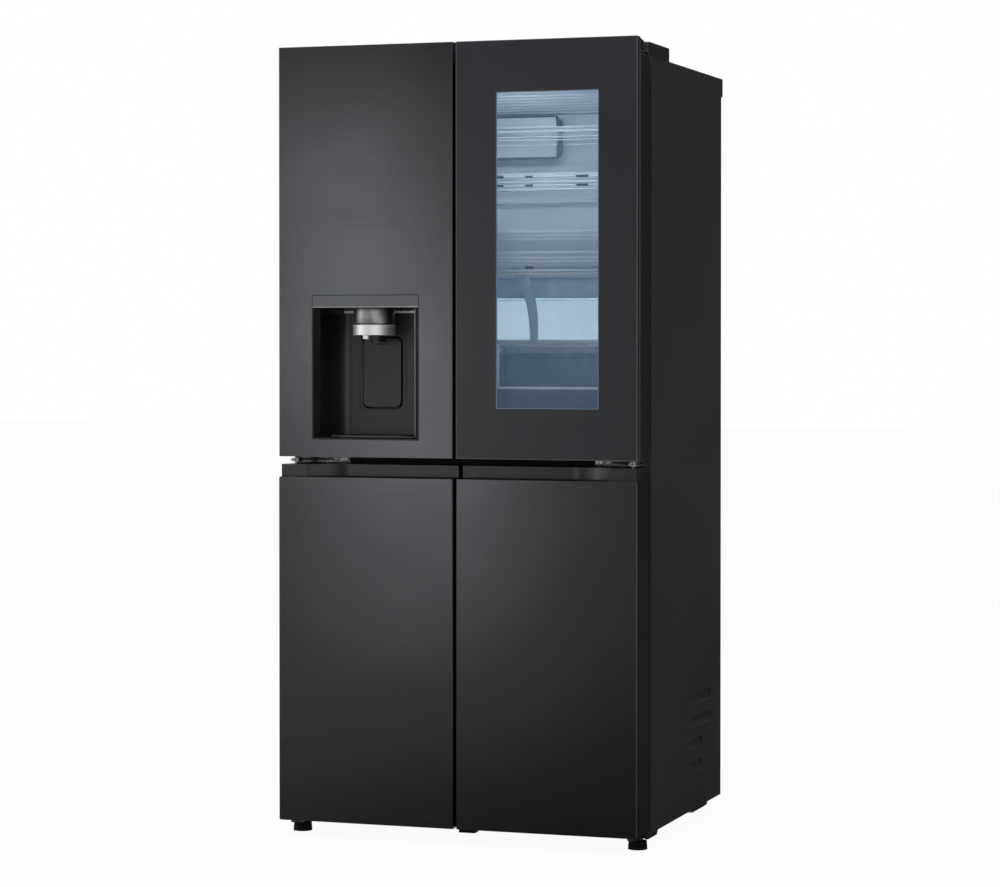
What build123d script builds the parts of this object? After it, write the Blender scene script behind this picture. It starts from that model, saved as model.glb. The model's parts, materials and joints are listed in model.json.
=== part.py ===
from build123d import *
import os

os.makedirs("parts", exist_ok=True)

# Overall size of the refrigerator. X is across, Y goes back, Z is up, and the floor is at Z = 0.
width = 835
depth = 734
height = 1767
half = width / 2
front = -depth / 2
rear = depth / 2
sheet = 1.0

# Cabinet
case_front = -255
case_back = 350
case_top = 1733
case_bottom = 30
side_flange = 15
top_lip = 18
pan_sheet = 2
foam_front = case_front + sheet
foam_back = case_back - sheet
liner = 1.5

# Compartments, measured to the foam
cavity_half = 360
cavity_back = 285
fridge_floor = 865
fridge_ceiling = 1690
freezer_floor = 100
freezer_ceiling = 805
partition_half = 25
step_back = 60
step_height = 300
room_front = 112
room_top = 280
back_split = room_top + 20
flange_split = 844

# Doors
door_thickness = 95
door_back = front + door_thickness
door_gap = 4
upper_bottom = 852
lower_bottom = 35
panel_top = 806
cap_top = 834.5
edge_round = 2
hinge_x = half - 22
hinge_y = front + 50
pin_radius = 4
pin_clearance = 0.08
pin_depth = 14
notch_floor = 1730
notch_front = front + 24
notch_inner = half - 80
dike_inner_x = 55
dike_outer_x = hinge_x - 60
dike_wall = 14
dike_plane = -230
dike_bottom = 875
dike_top = 1680
recess_front = -310
gasket_gap = 0.4
gasket_width = 14
gasket_outer_x = hinge_x - 2.5
gasket_inner_x = 12

# Window of the right door: the clear part of its front glass, and the hole behind it
window_left = 97
window_right = 331
window_bottom = 962.5
window_top = 1654
front_glass_thickness = 4
inner_glass_thickness = 4
frame_depth = 18
inner_glass_front = -325
hole_left = window_left - 47
hole_right = window_right + 2
hole_bottom = window_bottom - 22.5
hole_top = window_top + 14
window_dike_left = hole_left - 8
window_dike_right = hole_right + dike_wall

# Dispenser of the left door
disp_left = -337.5
disp_right = -83.5
disp_floor = 894
disp_ceiling = 1184
disp_top = 1213
disp_back = -257
disp_wall = 2.5
disp_rim = 3
header_depth = 5
disp_centre = (disp_left + disp_right) / 2
nozzle_y = front + 56.5
nozzle_bottom = 1146
ring_bottom = 1123
lever_width = 92
lever_bottom = 961
lever_top = 1118
lever_pivot_y = -252
lever_pivot_z = 1111
lever_pin_radius = 2.5
lever_thickness = 6
lever_pocket_back = -236
lever_margin = 5

# Pocket handle of the lower doors
handle_depth = 42
handle_end_setback = 8
handle_curve_start = 259
handle_curve_end = 355
handle_pocket_floor = 781
handle_lip = 6
cap_bottom = 770
cap_inset = 3

# Drawers
drawer_front = -165
drawer_inner_x = 36
drawer_outer_x = 312
drawer_wall = 3
crisper_back = 255
crisper_top = 1102
upper_drawer_back = 228
upper_drawer_z = (320, 556)
lower_drawer_top = 292
lower_drawer_gap = 6


def save(piece, name):
    piece.part.label = name
    export_step(piece.part, f"parts/{name}.step")


def add_box(x0, x1, y0, y1, z0, z1, mode=Mode.ADD):
    """A box between two corners, in the part that is open."""
    size = (abs(x1 - x0), abs(y1 - y0), abs(z1 - z0))
    with Locations(((x0 + x1) / 2, (y0 + y1) / 2, (z0 + z1) / 2)):
        Box(*size, mode=mode)


def add_rod(centre, radius, length, rotation=(0, 0, 0), mode=Mode.ADD):
    """A cylinder about a centre, upright unless it is turned."""
    with Locations(centre):
        Cylinder(radius, length, rotation=rotation, mode=mode)


def add_open_box(x0, x1, y0, y1, z0, z1, wall):
    """A box with a floor and four walls, open at the top."""
    low_x = min(x0, x1)
    high_x = max(x0, x1)
    add_box(low_x, high_x, y0, y1, z0, z1)
    add_box(low_x + wall, high_x - wall, y0 + wall, y1 - wall, z0 + wall, z1, Mode.SUBTRACT)


# Side panels with pressed-in louvres at the lower rear, the top two long and the others short
louvre_front = 75
louvre_long = 185
louvre_short = 103
louvre_height = 25
louvre_depth = 7
louvre_rows = [(270, louvre_long), (218, louvre_long), (166, louvre_short), (114, louvre_short)]

for side, name in [(-1, "left_side_panel"), (1, "right_side_panel")]:
    with BuildPart() as side_panel:
        add_box(side * (half - sheet), side * half, case_front, case_back, case_bottom, case_top)
        add_box(side * (half - side_flange), side * half, case_front, foam_front, case_bottom, case_top)
        for bottom, length in louvre_rows:
            top = bottom + louvre_height
            end = louvre_front + length
            add_box(side * (half - sheet), side * half, louvre_front, end, bottom, top, Mode.SUBTRACT)
            with BuildSketch(Plane.XZ.offset(-end)):
                with BuildLine():
                    Polyline(
                        (side * half, bottom),
                        (side * (half - louvre_depth), top),
                        (side * (half - louvre_depth - sheet), top),
                        (side * (half - sheet), bottom),
                        close=True,
                    )
                make_face()
            extrude(amount=length)
            for start in (louvre_front, end - sheet):
                with BuildSketch(Plane.XZ.offset(-start - sheet)):
                    with BuildLine():
                        Polyline(
                            (side * half, bottom),
                            (side * half, top),
                            (side * (half - louvre_depth), top),
                            close=True,
                        )
                    make_face()
                extrude(amount=sheet)
    save(side_panel, name)

with BuildPart() as top_panel:
    add_box(-half + sheet, half - sheet, foam_front, case_back, case_top - sheet, case_top)
    lip = half - side_flange
    add_box(-lip, lip, case_front, foam_front, case_top - top_lip, case_top)
save(top_panel, "top_panel")

# Back panel, stiffened by raised upright beads
bead_step = 160
bead_width = 26
bead_height = 3
bead_bottom = 390
bead_top = 1583
bead_count = 4
with BuildPart() as back_panel:
    add_box(-half + sheet, half - sheet, foam_back, case_back, back_split, case_top - sheet)
    bead_crown = case_back + bead_height
    for bead in range(bead_count):
        left = (bead - (bead_count - 1) / 2) * bead_step - bead_width / 2
        add_box(left, left + bead_width, case_back, bead_crown, bead_bottom, bead_top)
    fillet(back_panel.edges().filter_by(Axis.Z).group_by(Axis.Y)[-1], bead_height - 0.5)
save(back_panel, "back_panel")

spacer_inner = 330
spacer_height = 43
spacer_chamfer = 4
with BuildPart() as rear_spacers:
    for side in (-1, 1):
        add_box(side * spacer_inner, side * half, case_back, rear, case_top - spacer_height, case_top)
    chamfer(rear_spacers.edges().group_by(Axis.Y)[-1], spacer_chamfer)
save(rear_spacers, "rear_spacers")

# Base pan with the forks that carry the rear rollers, and a skid under each rear edge
skid_width = 14
skid_y = (90, 232)
skid_low = 23
skid_chamfer = 6
roller_x = 340
roller_y = 190
roller_radius = 20
roller_width = 18
roller_axle = 3
fork_gap = 0.5
fork_sheet = 3
fork_length = 34
fork_low = roller_radius - 8
well_half_x = roller_width / 2 + fork_gap
well_half_y = roller_radius + 3
pan_top = case_bottom + pan_sheet
with BuildPart() as base_pan:
    for side in (-1, 1):
        outer = side * (half - sheet)
        add_box(outer - side * skid_width, outer, *skid_y, skid_low, case_bottom)
    skid_ends = base_pan.edges().filter_by(Axis.X).group_by(Axis.Z)[0]
    chamfer(skid_ends, skid_chamfer)
    add_box(-half + sheet, half - sheet, foam_front, foam_back, case_bottom, pan_top)
    for side in (-1, 1):
        for hand in (-1, 1):
            inner = side * roller_x + hand * well_half_x
            outer = inner + hand * fork_sheet
            ends = (roller_y - fork_length / 2, roller_y + fork_length / 2)
            add_box(inner, outer, *ends, fork_low, case_bottom)
        add_rod(
            (side * roller_x, roller_y, roller_radius),
            roller_axle + pin_clearance,
            2 * (well_half_x + fork_sheet),
            (0, 90, 0),
            Mode.SUBTRACT,
        )
        add_box(
            side * roller_x - well_half_x,
            side * roller_x + well_half_x,
            roller_y - well_half_y,
            roller_y + well_half_y,
            case_bottom,
            pan_top,
            Mode.SUBTRACT,
        )
save(base_pan, "base_pan")

for side, name in [(-1, "rear_roller_left"), (1, "rear_roller_right")]:
    with BuildPart() as roller:
        add_rod((side * roller_x, roller_y, roller_radius), roller_radius, roller_width, (0, 90, 0))
        fillet(roller.edges().filter_by(GeomType.CIRCLE), edge_round)
        axle_length = 2 * (well_half_x + fork_sheet)
        add_rod((side * roller_x, roller_y, roller_radius), roller_axle, axle_length, (0, 90, 0))
    save(roller, name)

# Insulation between the case and the liners
with BuildPart() as cabinet_foam:
    add_box(-half + sheet, half - sheet, foam_front, foam_back, pan_top, case_top - sheet)
    add_box(-half, half, room_front, rear, 0, room_top, Mode.SUBTRACT)
    add_box(
        -cavity_half, cavity_half, front, cavity_back, fridge_floor, fridge_ceiling, Mode.SUBTRACT
    )
    for side in (-1, 1):
        inner = side * partition_half
        outer = side * cavity_half
        add_box(inner, outer, front, step_back, freezer_floor, freezer_ceiling, Mode.SUBTRACT)
        add_box(inner, outer, front, cavity_back, step_height, freezer_ceiling, Mode.SUBTRACT)
    pocket = louvre_depth + 2 * sheet
    for side in (-1, 1):
        add_box(
            side * (half - pocket),
            side * half,
            louvre_front - 1,
            room_front,
            louvre_rows[-1][0] - 1,
            louvre_rows[0][0] + louvre_height + 1,
            Mode.SUBTRACT,
        )
        add_box(
            side * (half - pocket),
            side * half,
            room_front,
            louvre_front + louvre_long + 1,
            room_top - 1,
            louvre_rows[0][0] + louvre_height + 1,
            Mode.SUBTRACT,
        )
save(cabinet_foam, "cabinet_foam")

# Liners: thin boxes with a front flange and ledges for the shelves
ledge_depth = 8
ledge_height = 6
shelf_front = -200
shelf_back = 262
fridge_shelf_levels = [1449, 1275]
crisper_cover_level = 1108
freezer_shelf_level = 575
freezer_shelf_front = -150
freezer_shelf_back = 225
rail_level = 319
rail_inner_width = 14
rail_outer_width = 50
shelf_glass = 4
lip_outer = half - side_flange

with BuildPart() as fridge_liner:
    add_box(-cavity_half, cavity_half, case_front, cavity_back, fridge_floor, fridge_ceiling)
    add_box(-lip_outer, lip_outer, case_front, foam_front, flange_split, case_top - top_lip)
    inner_half = cavity_half - liner
    add_box(
        -inner_half,
        inner_half,
        front,
        cavity_back - liner,
        fridge_floor + liner,
        fridge_ceiling - liner,
        Mode.SUBTRACT,
    )
    for level in fridge_shelf_levels + [crisper_cover_level]:
        for side in (-1, 1):
            ledge_in = side * (inner_half - ledge_depth)
            add_box(ledge_in, side * inner_half, shelf_front, shelf_back, level - ledge_height, level)
save(fridge_liner, "fridge_liner")

with BuildPart() as freezer_liners:
    for side in (-1, 1):
        inner = side * partition_half
        outer = side * cavity_half
        add_box(inner, outer, case_front, step_back, freezer_floor, freezer_ceiling)
        add_box(inner, outer, case_front, cavity_back, step_height, freezer_ceiling)
        seam = 0.1
        add_box(side * seam, side * lip_outer, case_front, foam_front, pan_top, flange_split)
        inner = side * (partition_half + liner)
        outer = side * (cavity_half - liner)
        low = freezer_floor + liner
        high = freezer_ceiling - liner
        add_box(inner, outer, front, step_back - liner, low, high, Mode.SUBTRACT)
        add_box(inner, outer, front, cavity_back - liner, step_height + liner, high, Mode.SUBTRACT)
        for start, end in [(inner, inner + side * ledge_depth), (outer - side * ledge_depth, outer)]:
            level = freezer_shelf_level
            add_box(start, end, freezer_shelf_front, freezer_shelf_back, level - ledge_height, level)
        for start, end in [
            (inner, inner + side * rail_inner_width),
            (outer - side * rail_outer_width, outer),
        ]:
            add_box(start, end, drawer_front, freezer_shelf_back, rail_level - ledge_height, rail_level)
save(freezer_liners, "freezer_liners")

shelf_clearance = 1
with BuildPart() as glass_shelves:
    shelf_half = cavity_half - liner - shelf_clearance
    for level in fridge_shelf_levels:
        add_box(-shelf_half, shelf_half, shelf_front, shelf_back, level, level + shelf_glass)
    level = crisper_cover_level
    add_box(-shelf_half, shelf_half, drawer_front, shelf_back, level, level + shelf_glass)
    for side in (-1, 1):
        shelf_in = side * (partition_half + liner + shelf_clearance)
        level = freezer_shelf_level
        ends = (freezer_shelf_front, freezer_shelf_back)
        add_box(shelf_in, side * shelf_half, *ends, level, level + shelf_glass)
save(glass_shelves, "glass_shelves")

mullion_half = 30
mullion_depth = 25
mullion_round = 6
with BuildPart() as centre_mullion:
    add_box(
        -mullion_half,
        mullion_half,
        case_front,
        case_front + mullion_depth,
        fridge_floor + liner,
        fridge_ceiling - liner,
    )
    fillet(centre_mullion.edges().filter_by(Axis.Z).group_by(Axis.Y)[-1], mullion_round)
save(centre_mullion, "centre_mullion")

# Hinges. Each upper door hangs on a top and a middle pin, each lower door on a middle and a bottom pin.
plate = 4
arm_radius = 11
top_plate_width = 45
top_plate_front = -246
top_plate_back = -120
top_plate_high = case_top + plate
pin_head = 3
with BuildPart() as top_hinges:
    for side in (-1, 1):
        x = side * hinge_x
        plate_ends = (x - side * top_plate_width, x + side * arm_radius)
        add_box(*plate_ends, top_plate_front, top_plate_back, case_top, top_plate_high)
        add_box(x - arm_radius, x + arm_radius, hinge_y, top_plate_front, case_top, top_plate_high)
        add_rod((x, hinge_y, case_top + plate / 2), arm_radius, plate)
        pin_low = notch_floor - pin_depth
        pin_high = top_plate_high + pin_head
        add_rod((x, hinge_y, (pin_low + pin_high) / 2), pin_radius, pin_high - pin_low)
save(top_hinges, "top_hinges")

middle_arm_low = 841
middle_tip = 14
middle_plate_inner = 290
middle_plate_outer = 405
middle_plate_low = 836
middle_plate_high = 850
middle_plate_front = case_front - 3
middle_arm_inner = 330
with BuildPart() as middle_hinges:
    for side in (-1, 1):
        x = side * hinge_x
        add_box(
            side * middle_plate_inner,
            side * middle_plate_outer,
            middle_plate_front,
            case_front,
            middle_plate_low,
            middle_plate_high,
        )
        with BuildSketch(Plane.XY.offset(middle_arm_low)):
            with BuildLine():
                Polyline(
                    (side * middle_arm_inner, middle_plate_front),
                    (side * middle_plate_outer, middle_plate_front),
                    (x + side * middle_tip, hinge_y),
                    (x - side * middle_tip, hinge_y),
                    close=True,
                )
            make_face()
        extrude(amount=plate)
        add_rod((x, hinge_y, middle_arm_low + plate / 2), middle_tip, plate)
        pin_low = cap_top - pin_depth
        pin_high = upper_bottom + pin_depth
        add_rod((x, hinge_y, (pin_low + pin_high) / 2), pin_radius, pin_high - pin_low)
save(middle_hinges, "middle_hinges")

foot_x = hinge_x
foot_y = -283
stem_radius = 5
stem_top = 32.5
bottom_plate_inner = 345
bottom_plate_outer = 412
bottom_plate_front = -250
bottom_plate_back = -180
bottom_arm_low = 24
bottom_arm_high = 29
bottom_tip = 14
bottom_flange = 6
bottom_flange_low = 22
bottom_flange_front = -276
with BuildPart() as bottom_hinges:
    for side in (-1, 1):
        x = side * hinge_x
        plate_ends = (bottom_plate_front, bottom_plate_back)
        outer = side * bottom_plate_outer
        add_box(side * bottom_plate_inner, outer, *plate_ends, bottom_arm_low, case_bottom)
        flange_ends = (bottom_flange_front, bottom_plate_back)
        add_box(outer - side * bottom_flange, outer, *flange_ends, bottom_flange_low, case_bottom)
        add_box(
            x - bottom_tip, x + bottom_tip, hinge_y, bottom_plate_front, bottom_arm_low, bottom_arm_high
        )
        arm_thickness = bottom_arm_high - bottom_arm_low
        mid_arm = (bottom_arm_low + bottom_arm_high) / 2
        add_rod((x, hinge_y, mid_arm), bottom_tip, arm_thickness)
        pin_high = lower_bottom + pin_depth
        add_rod((x, hinge_y, (mid_arm + pin_high) / 2), pin_radius, pin_high - mid_arm)
        foot_bore = stem_radius + pin_clearance
        add_rod((side * foot_x, foot_y, mid_arm), foot_bore, 2 * arm_thickness, mode=Mode.SUBTRACT)
save(bottom_hinges, "bottom_hinges")

foot_radius = 21
foot_height = 12
foot_round = 3
hex_radius = 15
hex_height = 9
for side, name in [(-1, "levelling_foot_left"), (1, "levelling_foot_right")]:
    with BuildPart() as foot:
        add_rod((side * foot_x, foot_y, foot_height / 2), foot_radius, foot_height)
        fillet(foot.edges().filter_by(GeomType.CIRCLE).group_by(Axis.Z)[-1], foot_round)
        with BuildSketch(Plane.XY.offset(foot_height)):
            with Locations((side * foot_x, foot_y)):
                RegularPolygon(hex_radius, 6)
        extrude(amount=hex_height)
        stem_low = foot_height + hex_height - 1
        add_rod((side * foot_x, foot_y, (stem_low + stem_top) / 2), stem_radius, stem_top - stem_low)
    save(foot, name)

# Hinge covers on top of the case, hollow over the hinge plates
cover_front = -250
cover_back = -85
cover_top = height - 1.5
cover_outer = half - 5
cover_inner = half - 95
cover_wall = 2
cover_corner = 8
cover_round = 3
arm_slot_half = arm_radius + 1
arm_slot_height = 9
with BuildPart() as hinge_covers:
    for side in (-1, 1):
        ends = (side * cover_outer, side * cover_inner)
        add_box(*ends, cover_front, cover_back, case_top, cover_top)
    fillet(hinge_covers.edges().filter_by(Axis.Z), cover_corner)
    fillet(hinge_covers.faces().group_by(Axis.Z)[-1].edges(), cover_round)
    for side in (-1, 1):
        ends = (side * (cover_outer - cover_wall), side * (cover_inner + cover_wall))
        inside = (cover_front + cover_wall, cover_back - cover_wall)
        add_box(*ends, *inside, case_top, cover_top - cover_wall, Mode.SUBTRACT)
        slot = (side * hinge_x - arm_slot_half, side * hinge_x + arm_slot_half)
        wall = (cover_front - 1, cover_front + cover_wall)
        add_box(*slot, *wall, case_top, case_top + arm_slot_height, Mode.SUBTRACT)
save(hinge_covers, "hinge_covers")

# Machine room at the lower rear
compressor_x = -235
compressor_y = 232
compressor_radius = 70
compressor_low = 48
compressor_high = 188
crown_round = 48
base_round = 30
saddle_half_x = 92
saddle_half_y = 66
saddle_low = 45
saddle_high = 49
stub_radius = 5
stub_length = 30
stub_step = 60
stub_level = 140
with BuildPart() as compressor:
    shell_middle = (compressor_x, compressor_y, (compressor_low + compressor_high) / 2)
    add_rod(shell_middle, compressor_radius, compressor_high - compressor_low)
    fillet(compressor.edges().filter_by(GeomType.CIRCLE).sort_by(Axis.Z)[-1], crown_round)
    fillet(compressor.edges().filter_by(GeomType.CIRCLE).sort_by(Axis.Z)[0], base_round)
    add_box(
        compressor_x - saddle_half_x,
        compressor_x + saddle_half_x,
        compressor_y - saddle_half_y,
        compressor_y + saddle_half_y,
        saddle_low,
        saddle_high,
    )
    for pipe_shift in (-stub_step / 2, stub_step / 2):
        stub = (compressor_x + compressor_radius - 4, compressor_y + pipe_shift, stub_level)
        add_rod(stub, stub_radius, stub_length, (0, 90, 0))
save(compressor, "compressor")

mount_radius = 11
mount_step_x = 150
mount_step_y = 104
with BuildPart() as compressor_mounts:
    with Locations((compressor_x, compressor_y, (pan_top + saddle_low) / 2)):
        with GridLocations(mount_step_x, mount_step_y, 2, 2):
            Cylinder(mount_radius, saddle_low - pan_top)
save(compressor_mounts, "compressor_mounts")

fin = 1.2
fin_count = 22
pipe_radius = 4


def add_finned_coil(x0, x1, y0, y1, z0, z1, rows):
    """Upright fins on a stack of straight pipes."""
    with Locations(((x0 + x1) / 2, (y0 + y1) / 2, (z0 + z1) / 2)):
        with GridLocations((x1 - x0 - fin) / (fin_count - 1), 1, fin_count, 1):
            Box(fin, y1 - y0, z1 - z0)
    step = (z1 - z0) / rows
    for row in range(rows):
        middle = ((x0 + x1) / 2, (y0 + y1) / 2, z0 + step * (row + 0.5))
        add_rod(middle, pipe_radius, x1 - x0, (0, 90, 0))


condenser_x = (70, 330)
condenser_y = (150, 205)
condenser_top = 240
with BuildPart() as condenser:
    add_finned_coil(*condenser_x, *condenser_y, pan_top, condenser_top, 6)
save(condenser, "condenser")

evaporator_x = (60, 330)
evaporator_y = (242, 282)
evaporator_z = (400, 590)
bracket_half = 5
bracket_front = 276
bracket_inset = 15
bracket_reach = 10
with BuildPart() as evaporator:
    add_finned_coil(*evaporator_x, *evaporator_y, *evaporator_z, 5)
    bracket_low = evaporator_z[0] - bracket_reach
    bracket_high = evaporator_z[1] + bracket_reach
    for x in (evaporator_x[0] + bracket_inset, evaporator_x[1] - bracket_inset):
        ends = (bracket_front, cavity_back - liner)
        add_box(x - bracket_half, x + bracket_half, *ends, bracket_low, bracket_high)
save(evaporator, "evaporator")

drain_pan_x = (60, 340)
drain_pan_y = (225, 335)
drain_pan_top = 72
drain_pan_wall = 2
with BuildPart() as drain_pan:
    add_open_box(*drain_pan_x, *drain_pan_y, pan_top, drain_pan_top, drain_pan_wall)
save(drain_pan, "drain_pan")

condenser_fan_at = (-10, 215, 140)
condenser_fan_radius = 78
evaporator_fan_at = (192, 252, 690)
evaporator_fan_radius = 52
fan_blades = 5
blade_thickness = 2
blade_pitch = 28
shaft_radius = 3


def add_fan(radius, thickness, shaft_end):
    """Hub, pitched blades and a shaft along the plane's normal."""
    Cylinder(radius * 0.28, thickness)
    span = radius * 0.78
    with PolarLocations(radius - span / 2, fan_blades):
        Box(span, radius * 0.5, blade_thickness, rotation=(blade_pitch, 0, 0))
    with Locations((0, 0, shaft_end / 2)):
        Cylinder(shaft_radius, shaft_end)


with BuildPart(Plane(origin=condenser_fan_at, z_dir=(1, 0, 0))) as condenser_fan:
    add_fan(condenser_fan_radius, 22, 40)
save(condenser_fan, "condenser_fan")

with BuildPart(Plane(origin=evaporator_fan_at, z_dir=(0, 1, 0))) as evaporator_fan:
    add_fan(evaporator_fan_radius, 12, 22)
save(evaporator_fan, "evaporator_fan")

motor_radius = 22
motor_length = 36
motor_start = 18
motor_bore_end = 40.5
post_half_x = 6
post_half_y = 8
evaporator_motor_front = 266
evaporator_bore_end = 274.5
with BuildPart() as fan_motors:
    fan_x, fan_y, fan_z = condenser_fan_at
    motor_x = fan_x + motor_start + motor_length / 2
    add_rod((motor_x, fan_y, fan_z), motor_radius, motor_length, (0, 90, 0))
    post_ends = (motor_x - post_half_x, motor_x + post_half_x)
    add_box(*post_ends, fan_y - post_half_y, fan_y + post_half_y, pan_top, fan_z)
    bore = shaft_radius + pin_clearance
    add_rod((fan_x, fan_y, fan_z), bore, 2 * motor_bore_end, (0, 90, 0), Mode.SUBTRACT)
    fan_x, fan_y, fan_z = evaporator_fan_at
    motor_back = cavity_back - liner
    motor_y = (evaporator_motor_front + motor_back) / 2
    add_rod((fan_x, motor_y, fan_z), motor_radius, motor_back - evaporator_motor_front, (90, 0, 0))
    bore_middle = (fan_x, (evaporator_motor_front + evaporator_bore_end) / 2, fan_z)
    bore_depth = evaporator_bore_end - evaporator_motor_front
    add_rod(bore_middle, bore, bore_depth, (90, 0, 0), Mode.SUBTRACT)
save(fan_motors, "fan_motors")

vent_columns = 6
vent_rows = 9
vent_step = (125, 24)
vent_size = (90, 8)
with BuildPart() as machine_cover:
    add_box(-half + sheet, half - sheet, foam_back, case_back, pan_top, back_split)
    with BuildSketch(Plane.XZ.offset(-case_back)):
        with Locations((0, (pan_top + back_split) / 2)):
            with GridLocations(*vent_step, vent_columns, vent_rows):
                SlotOverall(*vent_size)
    extrude(amount=sheet, mode=Mode.SUBTRACT)
save(machine_cover, "machine_cover")

# Inside the compartments
duct_x = (-190, 45)
duct_z = (1546, 1647)
duct_corner = 22
duct_depth = 43
duct_round = 6
cover_plane = 234
cover_sheet = 4
outlet_x = 192
outlet_slots = 5
outlet_step = 18
return_level = 330
return_step = (110, 16)
with BuildPart() as duct_covers:
    with BuildSketch(Plane.XZ.offset(-cavity_back + liner)):
        with Locations((sum(duct_x) / 2, sum(duct_z) / 2)):
            RectangleRounded(duct_x[1] - duct_x[0], duct_z[1] - duct_z[0], duct_corner)
    extrude(amount=duct_depth)
    fillet(duct_covers.faces().sort_by(Axis.Y)[0].edges(), duct_round)
    cover_back_plane = cover_plane + cover_sheet
    for side in (-1, 1):
        inner = side * (partition_half + liner)
        outer = side * (cavity_half - liner)
        levels = (step_height + liner, freezer_ceiling - liner)
        add_box(inner, outer, cover_plane, cover_back_plane, *levels)
    with BuildSketch(Plane.XZ.offset(-cover_back_plane)):
        for side in (-1, 1):
            with Locations((side * outlet_x, evaporator_fan_at[2])):
                with GridLocations(1, outlet_step, 1, outlet_slots):
                    SlotOverall(110, 8)
            with Locations((side * outlet_x, return_level)):
                with GridLocations(*return_step, 2, 2):
                    SlotOverall(90, 7)
    extrude(amount=cover_sheet, mode=Mode.SUBTRACT)
save(duct_covers, "duct_covers")

lamp_half = 160
lamp_y = (-130, -60)
lamp_depth = 8
lamp_corner = 12
with BuildPart() as ceiling_lamp:
    lamp_high = fridge_ceiling - liner
    add_box(-lamp_half, lamp_half, *lamp_y, lamp_high - lamp_depth, lamp_high)
    fillet(ceiling_lamp.edges().filter_by(Axis.Z), lamp_corner)
save(ceiling_lamp, "ceiling_lamp")

# Drawers: open boxes whose front wall carries a lip to pull on
grip_depth = 12
grip_height = 16
grip_top = 4
grip_sheet = 3
drawer_corner = 8
drawer_gap = 1.5


def build_drawer(name, side, back, bottom, top):
    with BuildPart() as drawer:
        inner = side * drawer_inner_x
        outer = side * drawer_outer_x
        add_open_box(inner, outer, drawer_front, back, bottom, top, drawer_wall)
        grip_front = drawer_front - grip_depth
        add_box(inner, outer, grip_front, drawer_front, top - grip_top, top)
        add_box(inner, outer, grip_front, grip_front + grip_sheet, top - grip_height, top)
        fillet(drawer.edges().filter_by(Axis.Z).group_by(Axis.Y)[-1], drawer_corner)
    save(drawer, name)


for side, hand in [(-1, "left"), (1, "right")]:
    low = fridge_floor + liner + drawer_gap
    build_drawer(f"crisper_{hand}", side, crisper_back, low, crisper_top)
    build_drawer(f"freezer_drawer_upper_{hand}", side, upper_drawer_back, *upper_drawer_z)
    low = freezer_floor + liner + drawer_gap
    back = step_back - liner - lower_drawer_gap
    build_drawer(f"freezer_drawer_lower_{hand}", side, back, low, lower_drawer_top)

# Doors: a folded steel skin round a foamed core, whose inner side carries a raised dike


def cut_notch(side):
    """Room for the top hinge arm at the door's upper rear corner."""
    across = (side * notch_inner, side * (half + 1))
    add_box(*across, notch_front, door_back + 1, notch_floor, height + 1, Mode.SUBTRACT)


def cut_pin_hole(side, low, high):
    centre = (side * hinge_x, hinge_y, (low + high) / 2)
    add_rod(centre, pin_radius + pin_clearance, high - low, mode=Mode.SUBTRACT)


def add_skin(side, low, high):
    add_box(side * door_gap, side * half, front, door_back, low, high)
    fillet(edges().filter_by(Axis.Z).group_by(Axis.Y)[0], edge_round)
    inner = side * (door_gap + sheet)
    outer = side * (half - sheet)
    add_box(inner, outer, front + sheet, door_back + 1, low - 1, high + 1, Mode.SUBTRACT)


def build_gasket(name, side, low, high):
    with BuildPart() as gasket:
        inner = side * gasket_inner_x
        outer = side * gasket_outer_x
        contact = case_front - gasket_gap
        add_box(inner, outer, door_back, contact, low, high)
        hole_in = side * (gasket_inner_x + gasket_width)
        hole_out = side * (gasket_outer_x - gasket_width)
        add_box(
            hole_in, hole_out, door_back, contact, low + gasket_width, high - gasket_width, Mode.SUBTRACT
        )
    save(gasket, name)


bin_front = -308
bin_back = -231
bin_wall = 2.5
bin_in = dike_inner_x + dike_wall
bin_out = dike_outer_x - dike_wall


left_bin_levels = [(1250, 1330), (1449, 1550)]
right_bin_levels = [(945, 1008), (1258, 1352), (1446, 1580)]


def build_bins(name, ends, levels):
    with BuildPart() as bins:
        for low, high in levels:
            add_open_box(*ends, bin_front, bin_back, low, high, bin_wall)
    save(bins, name)


upper_gasket_levels = (856, 1726)
lower_gasket_levels = (45, 828)
build_gasket("upper_left_gasket", -1, *upper_gasket_levels)
build_gasket("upper_right_gasket", 1, *upper_gasket_levels)
build_gasket("lower_left_gasket", -1, *lower_gasket_levels)
build_gasket("lower_right_gasket", 1, *lower_gasket_levels)
build_bins("upper_left_bins", (-bin_out, -bin_in), left_bin_levels)
build_bins("upper_right_bins", (hole_left, hole_right), right_bin_levels)

# Upper left door with the dispenser
cavity_left = disp_left + disp_rim
cavity_right = disp_right - disp_rim
cavity_taper = 29
rim_width = 11
rim_depth = 15
mouth_reach = 10
cavity_corner = 24
pocket_half = lever_width / 2 + lever_margin
pocket_low = lever_bottom - 2 * lever_margin
pocket_high = lever_top + lever_margin
bin_recess_floor = 1240

# Plan of the dispenser cavity, open past the front, with a bevelled rim and tapering sides
with BuildSketch() as cavity_plan:
    with BuildLine():
        Polyline(
            (cavity_left, front - mouth_reach),
            (cavity_left, front),
            (cavity_left + rim_width, front + rim_depth),
            (cavity_left + cavity_taper, disp_back),
            (cavity_right - cavity_taper, disp_back),
            (cavity_right - rim_width, front + rim_depth),
            (cavity_right, front),
            (cavity_right, front - mouth_reach),
            close=True,
        )
    make_face()
    fillet(cavity_plan.vertices().group_by(Axis.Y)[-1], cavity_corner)

with BuildSketch() as housing_plan:
    add(cavity_plan.sketch)
    offset(amount=disp_wall)


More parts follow.
